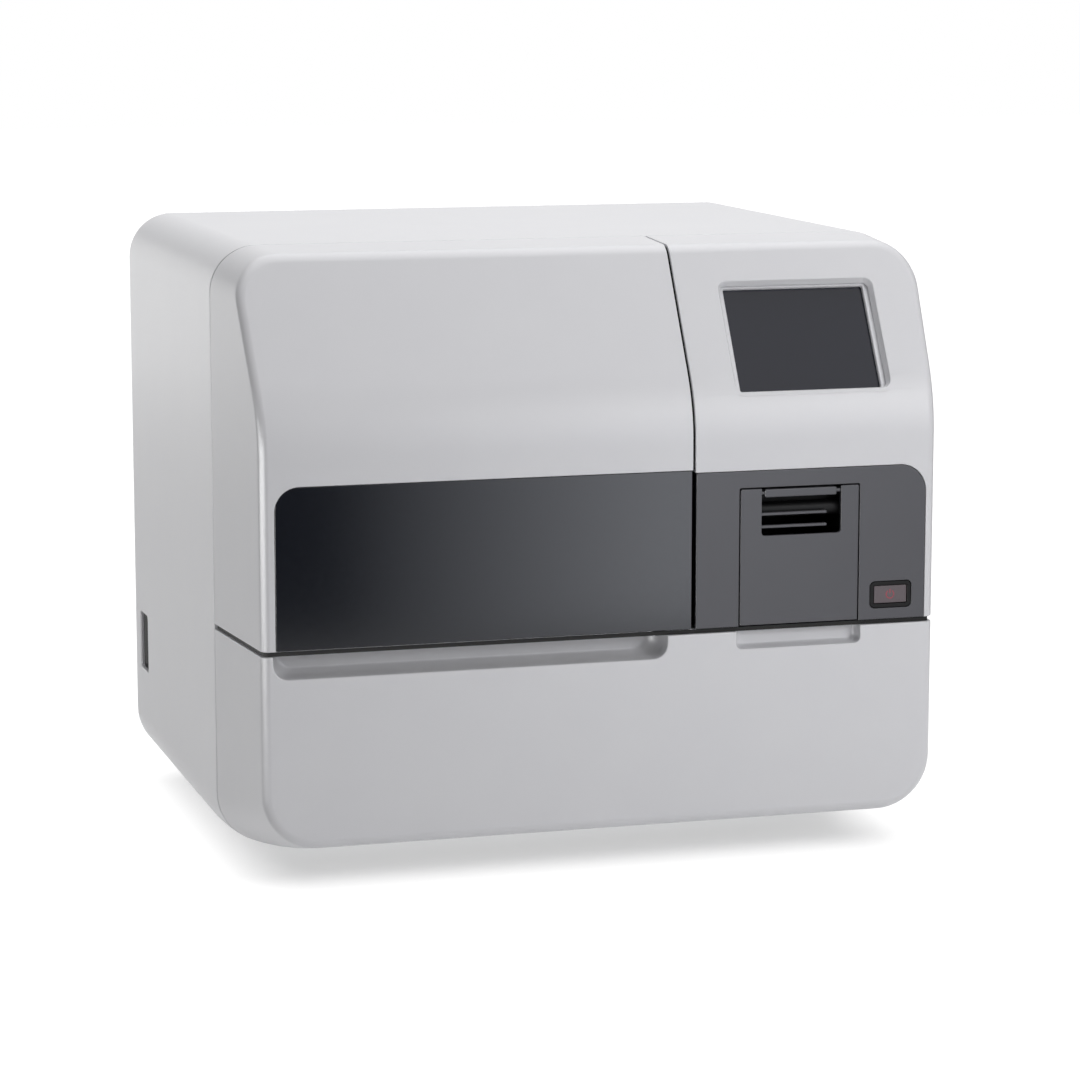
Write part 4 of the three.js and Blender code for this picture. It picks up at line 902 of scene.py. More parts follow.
def make_dark_panel():
    """Dark moulding around the printer door and the power button, with softened openings."""
    xs, zs = (PANEL_LEFT + 0.8, DARK_RIGHT - GAP), (UPPER_LOW, DARK_TOP - GAP)
    corners = (TRIM, TRIM, DARK_RADIUS - GAP, TRIM)
    panel = plate("right_dark_panel_moulding", xs, zs, corners, slab(0.6, WALL, 0.3))
    opening = mouth(0.7, WALL + GAP, 0.0)
    cut(panel, plate("doorway", DOORWAY, (-FAR, DOORWAY_TOP), (0, 0, 1.5, 1.5), opening))
    cut(panel, plate("button_hole", wider(BUTTON_X, GAP), wider(BUTTON_Z, GAP), BUTTON_BEND + GAP, opening))
    settle(panel, "body", "dark_panel_plastic", "right_dark_panel")


def make_printer_door():
    """Door plate with a paper slot and two guide ribs, and the cheeks that carry the platen and the pins."""
    corners = (TRIM, TRIM, 1.5, 1.5)
    door = plate("printer_door_moulding", DOOR_X, DOOR_Z, corners, slab(0.8, WALL, 0.3))
    opening = mouth(0.5, WALL + GAP, 0.0)
    cut(door, plate("paper_slot", PAPER_SLOT_X, (PAPER_SLOT_LOW, FAR), (3, 3, 0, 0), opening))
    cheek_y, cheek_z = (FRONT + WALL - GAP, FRONT + 17), (PIVOT[1], DOORWAY_TOP - 12)
    for x in (DOOR_X[0], DOOR_X[1] - CHEEK):
        join(door, block("cheek", (x, x + CHEEK), cheek_y, cheek_z))
        join(door, turned("knuckle", [(3.8, 0), (3.8, CHEEK)], (x, *PIVOT), "x"))
    rib_x, depths = (PAPER_SLOT_X[0] - 1.5, RIB_END), [(0.4, 1.2), (0.0, 1.6), (0.0, 5)]
    for top in RIB_TOPS:
        join(door, plate("rib", rib_x, (top - RIB_TALL, top), 0.5, depths))
    for radius, place in ((2.3, PIVOT), (2.8, PLATEN)):
        bore(door, (0, *place), "x", radius, wider(DOOR_X, OVERRUN), 48)
    settle(door, "door", "dark_panel_plastic", "printer_door")


def make_lever():
    """Tab over the paper slot, on its axle."""
    tab = plate("printer_release_tab", LEVER_X, LEVER_Z, 1.2, slab(0.8, 5, 0.4))
    ends = [(1.5, x) for x in span("printer_release_lever", "x")]
    join(tab, turned("axle", ends, LEVER_AXLE, "x"))
    settle(tab, "lever", "dark_panel_plastic", "printer_release_lever")


def make_power_button():
    """Frame, cap, and a generic power mark inlaid in it: a square line along a broken circle, and a bar."""
    ring = plate("power_button_bezel", BUTTON_X, BUTTON_Z, BUTTON_BEND, slab(0.8, 12))
    inner_x, inner_z = wider(BUTTON_X, -BUTTON_RIM), wider(BUTTON_Z, -BUTTON_RIM)
    cut(ring, plate("hole", inner_x, inner_z, 1.2, mouth(0.8, 13, 0.0)))
    settle(ring, "body", "black_plastic", "power_button_frame", finish=BEZEL_AND_SLOT_SHADE)
    cap_x, cap_z = wider(inner_x, -GAP), wider(inner_z, -GAP)
    cap = plate("power_button_cap", cap_x, cap_z, TRIM, slab(0.6, 8, start=BUTTON_SUNK))
    settle(cap, "button", "button_plastic", "power_button")
    x, z = mid(cap_x) - 0.2, mid(cap_z)
    arc = np.linspace(math.radians(125), math.radians(415), 40)
    outward = np.stack([np.cos(arc), 0 * arc, np.sin(arc)], -1)
    line_path = MARK_RADIUS * outward + np.array([x, FRONT + BUTTON_SUNK, z])
    face, line = -MARK_PROUD, MARK_LINE
    section = np.array([(-line, face), (line, face), (line, line), (-line, line)])
    loop = line_path[:, None] + outward[:, None] * section[:, :1] + BACKWARD * section[:, 1:]
    bar_z = (z + 0.6, z + 4.1)
    depths = [(0.0, BUTTON_SUNK - MARK_PROUD), (0.0, BUTTON_SUNK + line)]
    mark = join(loft("power_mark", loop), plate("bar", near(x, line), bar_z, 0.4, depths))
    settle(mark, "button", "button_plastic", finish=MARK)


def make_seals_and_seam_shade():
    """Dark light seals in the seams of the front, whose near black also paints the shade in the gaps, and a
    pale sill under the seam in the roof.
    """
    # The seals' near black, seen through the seam gaps, is painted shade as well as seal
    strip = flat_section(2.6, WALL + GAP - 0.05, 3.2)
    settle(across_seam("front_seam_seal_and_shade", strip, SEAM_Z - 0.2), "body", "rubber", finish=SEAL_AND_SEAM_SHADE)
    roof_y = float(face_y(np.array(ROOF))) + RIM_RADIUS + 1
    start_z = DARK_TOP + 2
    strip = flat_section(2.2, 12, 0.5)
    seal = upright_seam("cover_seam_seal_and_shade", strip, PANEL_LEFT - 0.3, start_z, roof_y)
    settle(seal, "body", "rubber", finish=SEAL_AND_SEAM_SHADE)
    strip = flat_section(1.4, 6, 0.6)
    sill = upright_seam(
        "roof_seam_sill", strip, PANEL_LEFT - 0.35, start_z, COVER_BACK - FLANGE_STOP - 1)
    trim(sill, block("zone", EVERYWHERE, (roof_y + 2, FAR), EVERYWHERE))
    settle(sill, "body", "housing_plastic")


make_housing()
make_side_cup()
make_display(make_front_shells())
for make in (make_window, make_dark_panel, make_printer_door, make_lever, make_power_button, make_seals_and_seam_shade):
    make()


# Bent sheets and mouldings that keep their packed form, with edges rounded by some millimetres
EASED = {
    "compartment_wall": 0.3, "partition_wall": 0.3, "hinge_beam": 0.4, "deck_support": 0.3,
    "hinge_bracket_left": 0.4, "hinge_bracket_right": 0.4, "hinge_arm_left": 0.5, "hinge_arm_right": 0.5,
    "base_plate": 0.5, "cover_inner_frame": 0.5, "printer_body": 0.5, "lcd_module": 0.5,
    "x_carriage": 0.6, "probe_unit": 1.4, "tube_catcher": 0.7,
}
EASED_FINISH = {
    # The printer's body takes the deep black, which also paints the shade seen inside the paper slot
    "compartment_wall": COATED, "partition_wall": COATED, "hinge_beam": COATED, "printer_body": BEZEL_AND_SLOT_SHADE,
}
for packed, width in EASED.items():
    settle_node(eased(packed, width), packed, finish=EASED_FINISH.get(packed))


# What stands on the deck
DECK_THICK = 3
CHUTE_X = (high("deck_plate", "x") - 90, high("deck_plate", "x") - 54)
CHUTE_Y = (10, 44)
DECK_SCREW_IN = 8
TUB_CORNER = 6
TUB_FLOOR = 3


def make_deck():
    """Deck with a front skirt, a chute with a rounded mouth, and its screws."""
    xs, ys, zs = spans("deck_plate")
    deck = rounded_block("deck_moulding", xs, ys, (zs[1] - DECK_THICK, zs[1]), 2, 0.6)
    join(deck, rounded_block("skirt", xs, (ys[0], ys[0] + DECK_THICK), zs, 0.8, 0.6, "x"))
    chute = mouth(1.2, DECK_THICK + 1, 0.0)
    pocket(deck, CHUTE_X, CHUTE_Y, 5, chute, facing("z", zs[1], -1), CORNER_STEPS)
    settle_node(deck, "deck_plate")
    across = (xs[0] + DECK_SCREW_IN, mid(xs), xs[1] - DECK_SCREW_IN)
    screws("deck_screws", grid(across, (ys[0] + DECK_SCREW_IN, ys[1] - 20 * DECK_SCREW_IN)), "z", zs[1])


def row(node, pitch, count):
    """Places along X with an even pitch about the middle of a node."""
    return [mid(span(node, "x")) + (index - (count - 1) / 2) * pitch for index in range(count)]


def wells(thing, node, places, radius, floor, flare, sides=40):
    """Drill wells at places along X, down to a floor of the given thickness."""
    _, ys, zs = spans(node)
    for x in places:
        drill(thing, about("z", x, mid(ys)), "z", radius, zs[0] + floor, zs[1], flare, sides)


def make_rack():
    """Sample rack: a row of wells, with a window before each tube."""
    xs, ys, zs = spans("sample_rack")
    rack = rounded_block("sample_rack_moulding", xs, ys, zs, 3, 0.8)
    window_z, window = (zs[0] + 12, zs[1] - 16), mouth(0.5, 7, 0.0)
    for x in row("sample_rack", 21, 10):
        wells(rack, "sample_rack", [x], 8, 6, 0.8)
        pocket(rack, near(x, 3.5), window_z, 3.4, window, facing("y", ys[0]))
    settle_node(rack, "sample_rack")


def make_heater():
    """Heated reagent block: wells with screws between them, and three grooves along its front."""
    xs, ys, zs = spans("reagent_block")
    heater = rounded_block("reagent_block_milled", xs, ys, zs, 2, 0.8)
    places = row("reagent_block", 42, 5)
    wells(heater, "reagent_block", places, 15, 8, 1, 56)
    for level in (12, 18, 24):
        groove_y, groove_z = (ys[0] - 1, ys[0] + 2), (zs[0] + level, zs[0] + level + 2.4)
        cut(heater, rounded_block("groove", wider(xs, 1), groove_y, groove_z, 0.6, 0.1, "x"))
    settle_node(heater, "reagent_block")
    between = [mid(pair) for pair in zip(places, places[1:])]
    screws("reagent_screws", grid(between, wider(ys, -6)), "z", zs[1])


def make_detector():
    """Detector block with a parting groove under its lid, chamfered wells and four screws."""
    xs, ys, zs = spans("detector_block")
    detector = rounded_block("detector_block_milled", xs, ys, zs, 2, 0.8)
    lid = zs[1] - 12
    ring = rounded_block("parting", wider(xs, 1), wider(ys, 1), (lid, lid + 0.8), 2, 0.1)
    core = (wider(xs, -0.8), wider(ys, -0.8), (lid - 1, lid + 2))
    cut(detector, cut(ring, rounded_block("core", *core, 2, 0.1)))
    wells(detector, "detector_block", row("detector_block", 17, 4), 5, 10, 1.2)
    settle_node(detector, "detector_block")
    screws("detector_screws", grid(wider(xs, -5), wider(ys, -5)), "z", zs[1], 2)


def make_tub(name, node, wall):
    """An open box with rounded corners, a rounded lip and a coved floor."""
    xs, ys, zs = spans(node)
    solid = rounded_block(name, xs, ys, zs, TUB_CORNER, 0.6)
    inside = mouth(0.8, zs[1] - zs[0] - TUB_FLOOR, 2)
    pocket(solid, wider(xs, -wall), wider(ys, -wall), TUB_CORNER - wall, inside, facing("z", zs[1], -1))
    settle_node(solid, node)


def make_rinse_cup():
    """A waisted cup turned in one piece, from its foot up to the lip and down to the inner floor."""
    floor, top = span("rinse_cup", "z")
    turns = np.linspace(-0.6, 2.6, 10)
    lip = [(9.5 + 2.5 * math.cos(turn), top - 2.5 + 2.5 * math.sin(turn)) for turn in turns]
    outside = steps(floor, (11.5, 0), (12, 0.5), (12, 4), (10.5, 6)) + steps(top, (10.5, -7))
    inside = steps(top, (7, -4)) + steps(floor, (7, 7.5), (5.5, 6))
    cup = turned("rinse_cup_turned", outside + lip + inside, axis_of("rinse_cup", "z"), "z")
    settle_node(cup, "rinse_cup")


# Sampling arm and its drive
RAIL_HOLES = 8
TOOTH_PITCH = 3
TOOTH_TALL = 0.6
BELT_IN = 8.5
WHEEL = BELT_IN - TOOTH_TALL - 0.15
WHEEL_TEETH = 16


def make_rail():
    """Guide rail with a ball groove above and below, and counterbored screw holes in its face."""
    xs, ys, zs = spans("x_rail")
    rail = rounded_block("x_rail_ground", xs, ys, zs, 0.6, 0.5, "x")
    for z in zs:
        bore(rail, (0, mid(ys) - 1, z), "x", 1.4, wider(xs, 1), 16)
    for index in range(RAIL_HOLES):
        place = about("y", xs[0] + (xs[1] - xs[0]) * (index + 0.5) / RAIL_HOLES, mid(zs))
        drill(rail, place, "y", 3.4, ys[0] + 5, ys[0], 0.4, 28)
        bore(rail, place, "y", 1.8, (ys[0] + 4, ys[1] + 1), 20)
    settle_node(rail, "x_rail")


def make_arm():
    """Extruded arm with a slot in each side, a moulded cap on its front end, and the carriage's screws."""
    xs, ys, zs = spans("y_arm")
    cap_end = ys[0] + 3
    beam = rounded_block("y_arm_extruded", xs, (cap_end, ys[1]), zs, 1.2, 0.3, "y")
    slot = (wider(ys, 1), near(mid(zs), 3), 0.8, 0.1, "y")
    for x in xs:
        cut(beam, rounded_block("slot", near(x, 2.5), *slot))
    settle_node(beam, "y_arm")
    settle(rounded_block("y_arm_cap", xs, (ys[0], cap_end), zs, 1.6, 0.8, "y"), "carriage", "black_plastic")
    corners = grid(span("x_carriage", "x", 5), span("x_carriage", "z", 5))
    screws("carriage_screws", corners, "y", low("x_carriage", "y"), 2.4, -1, "carriage")


def make_probe():
    """Slider with a long groove, and the needle: a knurled hub, a long tube and a cone at its tip."""
    xs, ys, zs = spans("probe_slider")
    slider = rounded_block("probe_slider_milled", xs, ys, zs, 1.5, 0.8)
    groove = mouth(0.4, 3, 0.5)
    pocket(slider, near(mid(ys), 2.5), wider(zs, -8), 2.4, groove, facing("x", xs[0]))
    settle_node(slider, "probe_slider")
    x, y, _ = axis_of("sample_probe", "z")
    tip, top = span("sample_probe", "z")
    hub = top - 8
    profile = steps(tip, (0.35, 0), (1.2, 5)) + steps(top, (4, -0.6), (3.4, 0))
    profile[2:2] = steps(hub, (1.2, -4), (2.2, -3.5), (2.4, 0), (3.6, 0), (4, 0.5))
    needle = turned("sample_probe_drawn", profile, (x, y, 0), "z", 36)
    for turn in circle(12):
        place = (x + 4.2 * math.cos(turn), y + 4.2 * math.sin(turn), 0)
        bore(needle, place, "z", 0.6, (hub + 1.2, top - 1.4), 10)
    settle_node(needle, "sample_probe")


def tooth(share):
    """One over the middle half of a pitch and zero elsewhere, with flanks that ease in and out."""
    return 0.5 + 0.5 * np.tanh(3.5 * np.cos(2 * math.pi * share))


def make_pulleys():
    """Drive pulley, whose radius drops by a tooth's depth under the belt's teeth, and a plain idler."""
    place = axis_of("drive_pulley", "y")
    ys, belt = span("drive_pulley", "y"), span("x_belt", "y")
    angles = circle(WHEEL_TEETH * 12)
    radius = WHEEL - 0.7 * tooth(angles * WHEEL_TEETH / (2 * math.pi))
    across = (place[0] + radius * np.cos(angles), place[2] + radius * np.sin(angles))
    rings = [np.stack([across[0], y + 0 * angles, across[1]], -1) for y in wider(belt, 0.6)]
    drive = loft("drive_pulley_cut", np.stack(rings))
    first = steps(ys[0], (7, 0), (9.1, 0), (9.6, 0.5)) + steps(belt[0], (9.6, -0.9), (7.5, -0.2))
    last = steps(belt[1], (7.5, 0.2), (9.6, 0.9), (9.6, 1.6), (5, 2))
    shaft = steps(ys[0], (3, 1)) + steps(ys[1], (3, -0.4), (2.6, 0))
    join(drive, *(turned("collar", profile, place, "y") for profile in (first, last, shaft)))
    drill(drive, place, "y", 2.5, ys[0] + 0.8, ys[0], 0.3)
    settle_node(drive, "drive_pulley")
    place = (mid(span("idler_pulley", "x")), 0, place[2])
    ys = span("idler_pulley", "y")
    face = steps(0, (3.3, 0), (4.6, 0), (4.8, 0.4), (6.2, 0.4), (6.4, 0), (9.2, 0), (9.6, 0.3), (9.6, 0.8))
    face += [(WHEEL, 1.5)]
    section = [(r, ys[0] + along) for r, along in face] + [(r, ys[1] - along) for r, along in reversed(face)]
    settle_node(revolved("idler_pulley_turned", section, place, "y"), "idler_pulley")


def make_belt():
    """Toothed belt: a loop of two straights and two half circles, whose inner radius steps with the teeth."""
    right, left = mid(span("drive_pulley", "x")), mid(span("idler_pulley", "x"))
    z = mid(span("drive_pulley", "z"))
    start, end = span("x_belt", "y")
    outer = (high("x_belt", "z") - low("x_belt", "z")) / 2
    straight, bend = right - left, math.pi * BELT_IN
    total = 2 * (straight + bend)
    teeth = round(total / TOOTH_PITCH)
    along = np.linspace(0, total, teeth * 8, endpoint=False)
    inner = BELT_IN - TOOTH_TALL * tooth(along * teeth / total)
    legs = [along < straight, along < straight + bend, along < 2 * straight + bend]
    turn = np.select(
        legs, [0 * along, (along - straight) / BELT_IN, math.pi + 0 * along],
        math.pi + (along - 2 * straight - bend) / BELT_IN)
    x = np.select(
        legs, [left + along, right + 0 * along, right - (along - straight - bend)], left + 0 * along)
    out = np.stack([np.sin(turn), 0 * turn, np.cos(turn)], -1)
    spine = np.stack([x, 0 * x, z + 0 * x], -1)
    edges = [(inner, start), (inner, end), (outer + 0 * inner, end), (outer + 0 * inner, start)]
    rings = np.stack([spine + out * radius[:, None] + np.array([0, y, 0]) for radius, y in edges], 1)
    settle_node(loft("x_belt_moulded", rings, wrap=True), "x_belt")


def make_motor():
    """Stepper motor: a laminated middle between two cast end caps with cut corners, and its screws."""
    xs, ys, zs = spans("x_motor")
    cap = 9
    stack = slab(0.3, ys[1] - ys[0] - 2 * cap, 0.3)
    start = ys[0] + cap
    middle = plate(
        "x_motor_stack", wider(xs, -0.6), wider(zs, -0.6), 5, stack, facing("y", start), 2)
    for index in range(9):
        place = facing("y", start + (index + 1) * 2)
        ring = plate("lamination", wider(xs, 1), wider(zs, 1), 0, [(0, 0), (0, 0.3)], place, 2)
        cut(ring, plate("core", wider(xs, -1), wider(zs, -1), 5, [(0, -1), (0, 1)], place, 2))
        cut(middle, ring)
    settle_node(middle, "x_motor")
    end = slab(0.6, cap, 0.6)
    caps = [plate("x_motor_caps", xs, zs, 4.5, end, facing("y", y), 3) for y in (ys[0], ys[1] - cap)]
    settle(joined(caps), "body", "aluminium")
    screws("x_motor_screws", grid(wider(xs, -5.5), wider(zs, -5.5)), "y", ys[1], 2.2)


# Printer's inner parts and the switch
def make_platen():
    """Black sleeve with chamfered ends on a steel shaft; its deep black also paints the shade inside the
    paper slot.
    """
    x0, x1 = span("platen_roller", "x")
    centre = axis_of("platen_roller", "x")
    sleeve = steps(x0, (5.4, 8.3), (6, 8.9)) + steps(x1, (6, -8.9), (5.4, -8.3))
    settle_node(turned("platen_sleeve", sleeve, centre, "x"), "platen_roller", finish=BEZEL_AND_SLOT_SHADE)
    stubs = [steps(x, (2.1, 0), (2.5, way * 0.4), (2.5, way * 8.25)) for x, way in ((x0, 1), (x1, -1))]
    settle(joined([turned("platen_shaft", stub, centre, "x", 32) for stub in stubs]), "platen", "steel")


def make_paper():
    """Wound roll on its core: a ring whose end faces step in and out by the layers."""
    x0, x1 = span("paper_roll", "x")
    radius, hole = (23, 6)
    radii = np.linspace(hole + 1.5, radius - 0.4, 22)
    step = 0.12 * (np.arange(len(radii)) % 2)
    left = [(hole, x0 + 0.6)] + list(zip(radii, x0 + step)) + [(radius, x0 + 0.4)]
    right = [(radius, x1 - 0.4)] + list(zip(radii[::-1], x1 - step[::-1])) + [(hole, x1 - 0.6)]
    settle_node(revolved("paper_roll_wound", left + right, axis_of("paper_roll", "x"), "x", 96), "paper_roll")


def make_switch():
    """Switch body with rounded edges, and two flat blades behind it."""
    xs, ys, zs = spans("power_switch")
    end = ys[1] - 5
    settle_node(rounded_block("power_switch_case", xs, (ys[0], end), zs, 1.2, 0.5, "y"), "power_switch")
    blade = ((end - 0.1, ys[1]), near(mid(zs), 0.4), 0.3, 0.2, "y")
    blades = [rounded_block("switch_blades", near(x, 3), *blade) for x in wider(xs, -8)]
    settle(joined(blades), "body", "steel")


def make_feet():
    """Turned rubber feet: rounded below, drawn in towards the base, with a screw recess."""
    radius = 15
    for node in ("foot_front_left", "foot_front_right", "foot_rear_left", "foot_rear_right"):
        floor, top = span(node, "z")
        centre = axis_of(node, "z")
        below = [(radius - inset, floor + rise) for inset, rise in round_edge(2, 6)]
        foot = turned(node + "_moulded", below + [(radius - 1.5, top)], centre, "z")
        settle_node(drill(foot, centre, "z", 5, floor + 6, floor, 0.6), node)


# Rear panel and what it carries
FAN_X, _, FAN_Z = axis_of("fan_frame", "y")
FAN_BORE = 37
FAN_HUB = 17
FAN_BLADES = 7
FAN_FIXINGS = grid(near(FAN_X, 35.8), near(FAN_Z, 35.8))
VENT_HALF = 2.5
VENT_PITCH = 10
VENT_BAR_HALF = 2
HOLES = {"power_inlet": (13.8, 10.3), "interface_port": (13.8, 4.3)}
NIPPLE_XS = near(mid(span("fluid_nipples", "x")), 15)
NIPPLE_Z = mid(span("fluid_nipples", "z"))
RIM_SCREW_IN = 18
TYPE_PLATE_X = (168, 243)
TYPE_PLATE_Z = (112, 152)


def make_rear_panel():
    """Coated panel in the body's outline, with round-ended vent slots and holes for what it carries."""
    ys = span("rear_panel", "y")
    edge = 0.4
    rings = [(ys[0], edge), (ys[0] + edge, 0.0), (ys[1] - edge, 0.0), (ys[1], edge)]
    panel = body_form("rear_panel_coated", [ring_of(even_depth(y), WALL + GAP + inset) for y, inset in rings])
    trim(panel, block("zone", EVERYWHERE, EVERYWHERE, (low("rear_panel", "z"), FAR)))
    opening = mouth(0.4, ys[1] - ys[0] + 1, 0.0)
    at_back = facing("y", ys[1], -1)
    for index in range(-3, 4):
        z = FAN_Z + index * VENT_PITCH
        reach = math.sqrt(FAN_BORE ** 2 - (z - FAN_Z) ** 2)
        for xs in ((FAN_X - reach, FAN_X - VENT_BAR_HALF), (FAN_X + VENT_BAR_HALF, FAN_X + reach)):
            pocket(panel, xs, near(z, VENT_HALF), VENT_HALF - 0.05, opening, at_back)
    for node, (wide, tall) in HOLES.items():
        x, _, z = axis_of(node, "y")
        pocket(panel, near(x, wide), near(z, tall), 1, opening, at_back, 6)
    for x in NIPPLE_XS:
        drill(panel, about("y", x, NIPPLE_Z), "y", 4.3, ys[0] - OVERRUN, ys[1], 0.4)
    settle_node(panel, "rear_panel", finish=COATED)
    places = grid(near(0, HALF_WIDTH - RIM_SCREW_IN), (70, 210, 350, 440))
    places += grid((-180, -60, 60, 180), (FLOOR + RIM_SCREW_IN, ROOF - RIM_SCREW_IN))
    screws("rear_screws", places, "y", ys[1], 3)
    screws("fan_screws", FAN_FIXINGS, "y", ys[1])


def make_rear_marks():
    """Bare type plate on two rivets over the inlet, and an earth stud beside the port."""
    back = high("rear_panel", "y")
    depths = (back - 0.05, back + 0.45)
    tag = rounded_block("type_plate", TYPE_PLATE_X, depths, TYPE_PLATE_Z, 2.5, 0.15, "y")
    settle(tag, "body", "aluminium")
    rivets = grid(wider(TYPE_PLATE_X, -4), [mid(TYPE_PLATE_Z)])
    screws("type_plate_rivets", rivets, "y", back + 0.4, 1.4)
    stud = (low("interface_port", "x") - 22, mid(span("interface_port", "z")))
    screws("earth_stud", [stud], "y", back, 4)


def make_nipples():
    """Plate with two bored nipples, each with a round stub behind the plate and two barbs on the outside."""
    xs, ys, zs = spans("fluid_nipples")
    face = low("rear_panel", "y") - GAP
    sheet = rounded_block("fluid_nipples_turned", xs, (face - 2, face), zs, 2, 0.4, "y")
    barbs = steps(face, (3.9, -1))
    barbs += steps(ys[1], (3.9, -3.4), (3.2, -3.4), (3.9, -2.6), (3, -1.4), (3.7, -1.4), (2.7, 0))
    for x in NIPPLE_XS:
        centre = about("y", x, NIPPLE_Z)
        join(sheet, turned("barb", barbs, centre, "y", 36))
        join(sheet, turned("stub", [(4, ys[0]), (4, face - 1)], centre, "y", 24))
        bore(sheet, centre, "y", 2, wider(ys, 1), 24)
    settle_node(sheet, "fluid_nipples")


def prism(name, outline, node, depths):
    """A straight piece over an outline about a node's middle, between two depths from its rear face."""
    x, _, z = axis_of(node, "y")
    place = facing("y", high(node, "y"), -1)
    return loft(name, np.stack([place(x + outline[:, 0], z + outline[:, 1], depth) for depth in depths]))


INLET_OUTLINE = np.array([(-11.5, -8), (11.5, -8), (11.5, 3.5), (7, 8), (-7, 8), (-11.5, 3.5)])
KEYSTONE = np.array([(-8.2, -3.2), (8.2, -3.2), (9.4, 3.2), (-9.4, 3.2)])


def make_inlet():
    """Mains inlet: a flange with a recess whose upper corners are cut off, and three flat pins."""
    xs, ys, zs = spans("power_inlet")
    x, z, lip = mid(xs), mid(zs), ys[1] - 2
    inlet = rounded_block("power_inlet_moulded", xs, (lip, ys[1]), zs, 3, 0.6, "y")
    case = (near(x, 13.5), (ys[0], lip + 0.2), near(z, 10))
    join(inlet, rounded_block("case", *case, 1, 0.4, "y"))
    settle_node(cut(inlet, prism("recess", INLET_OUTLINE, "power_inlet", (-1, 16))), "power_inlet")
    pins = []
    for u, v in ((-7, -1.5), (7, -1.5), (0, 2.5)):
        pin = (near(x + u, 1), (ys[1] - 16.2, ys[1] - 3), near(z + v, 2))
        pins.append(rounded_block("inlet_pins", *pin, 0.3, 0.6, "y"))
    settle(joined(pins), "body", "steel")
    screws("inlet_screws", grid(near(x, 18.6), [z]), "y", ys[1], 2)


def make_port():
    """Interface socket: a pressed shell with a keystone opening, an insert with nine contacts, two posts."""
    xs, ys, zs = spans("interface_port")
    x, z, back = mid(xs), mid(zs), ys[1]
    shell = rounded_block("interface_port_pressed", xs, (back - 2, back), zs, 1.5, 0.4, "y")
    case = (near(x, 13.5), (ys[0], back - 1.8), near(z, 4))
    join(shell, rounded_block("case", *case, 1, 0.3, "y"))
    settle_node(cut(shell, prism("opening", KEYSTONE, "interface_port", (-1, 8))), "interface_port")
    insert = prism("port_insert", 0.94 * KEYSTONE, "interface_port", (1.2, 8))
    for level, count in ((1.3, 5), (-1.3, 4)):
        for across in row("interface_port", 2.76, count):
            place = about("y", across, z + level)
            drill(insert, place, "y", 0.55, back - 5, back - 1.2, 0.2, 12)
    settle(insert, "body", "black_plastic")
    posts = []
    for side in near(x, 12.5):
        centre = about("y", side, z)
        post = turned("port_posts", steps(back, (2.3, -0.1), (2.3, 1.2), (2, 1.5)), centre, "y", 6)
        posts.append(bore(post, centre, "y", 1.3, (back + 0.2, back + 3), 20))
    settle(joined(posts), "body", "steel")


def fan_blade(start, middle):
    """Sections from hub to tip: the chord grows and its pitch falls; each is arched, and an ellipse thick."""
    s = np.concatenate([np.linspace(-0.5, 0.5, 13), np.linspace(0.5, -0.5, 13)[1:-1]])
    side = np.concatenate([np.ones(13), -np.ones(11)])
    root, tip = FAN_HUB - 1.2, 35.3
    rings = []
    for share in np.linspace(0, 1, 8):
        radius = root + share * (tip - root)
        chord, pitch = (19 + 8 * share), math.radians(44 - 18 * share)
        lift = 0.07 * chord * (1 - 4 * s ** 2) + side * 0.9 * np.sqrt(np.maximum(1 - (2 * s) ** 2, 0.04))
        angle = start + (s * chord * math.cos(pitch) - lift * math.sin(pitch)) / radius
        inwards = middle + s * chord * math.sin(pitch) + lift * math.cos(pitch)
        rings.append(np.stack([FAN_X + radius * np.cos(angle), inwards, FAN_Z + radius * np.sin(angle)], -1))
    return loft("blade", np.stack(rings))


def make_fan():
    """Frame with a flared bore, a cross with a hub disc, and a rotor whose blades twist from hub to tip."""
    xs, ys, zs = spans("fan_frame")
    centre = axis_of("fan_frame", "y")
    square = rounded_block("fan_frame_moulded", xs, ys, zs, 5, 0.6, "y")
    flared = steps(ys[0], (39.4, -1), (39.4, 0), (37, 3)) + steps(ys[1], (37, -3), (39.4, 0), (39.4, 1))
    cut(square, turned("bore", flared, centre, "y", 96))
    bar_y, thin, reach = (ys[0], ys[0] + 3), 2.5, FAN_BORE + 2
    join(square, rounded_block("bar", near(FAN_X, reach), bar_y, near(FAN_Z, thin), 1, 0.4, "x"))
    join(square, rounded_block("bar", near(FAN_X, thin), bar_y, near(FAN_Z, reach), 1, 0.4, "z"))
    disc = steps(ys[0], (16, 0), (17, 0.6), (17, 2.8), (3, 2.9)) + steps(ys[1], (3, -6))
    join(square, turned("post", disc, centre, "y"))
    for place in FAN_FIXINGS:
        bore(square, about("y", *place), "y", 2.1, wider(ys, 1), 20)
    settle_node(square, "fan_frame")
    front, back = bar_y[1] + GAP, ys[1] - 3
    cup = steps(front, (16.4, 0), (17, 0.6)) + steps(back, (17, -2), (16.4, -0.6), (15, 0))
    rotor = turned("fan_rotor_moulded", cup, centre, "y")
    for start in circle(FAN_BLADES):
        join(rotor, fan_blade(start, mid((front, back))))
    settle_node(drill(rotor, centre, "y", 3.3, back - 2.4, front, 0.3), "fan_rotor")


# Electronics and pump. Chips: place, width and height; capacitors: place and radius; all in millimetres
CHIPS = ((60, 90, 28, 28), (110, 100, 20, 20), (60, 45, 30, 12), (105, 55, 14, 20),
         (140, 95, 16, 9), (140, 75, 16, 9), (30, 100, 10, 16))
CANS = ((165, 120, 8), (165, 100, 8), (185, 60, 5), (185, 45, 5), (150, 30, 6), (20, 60, 5))


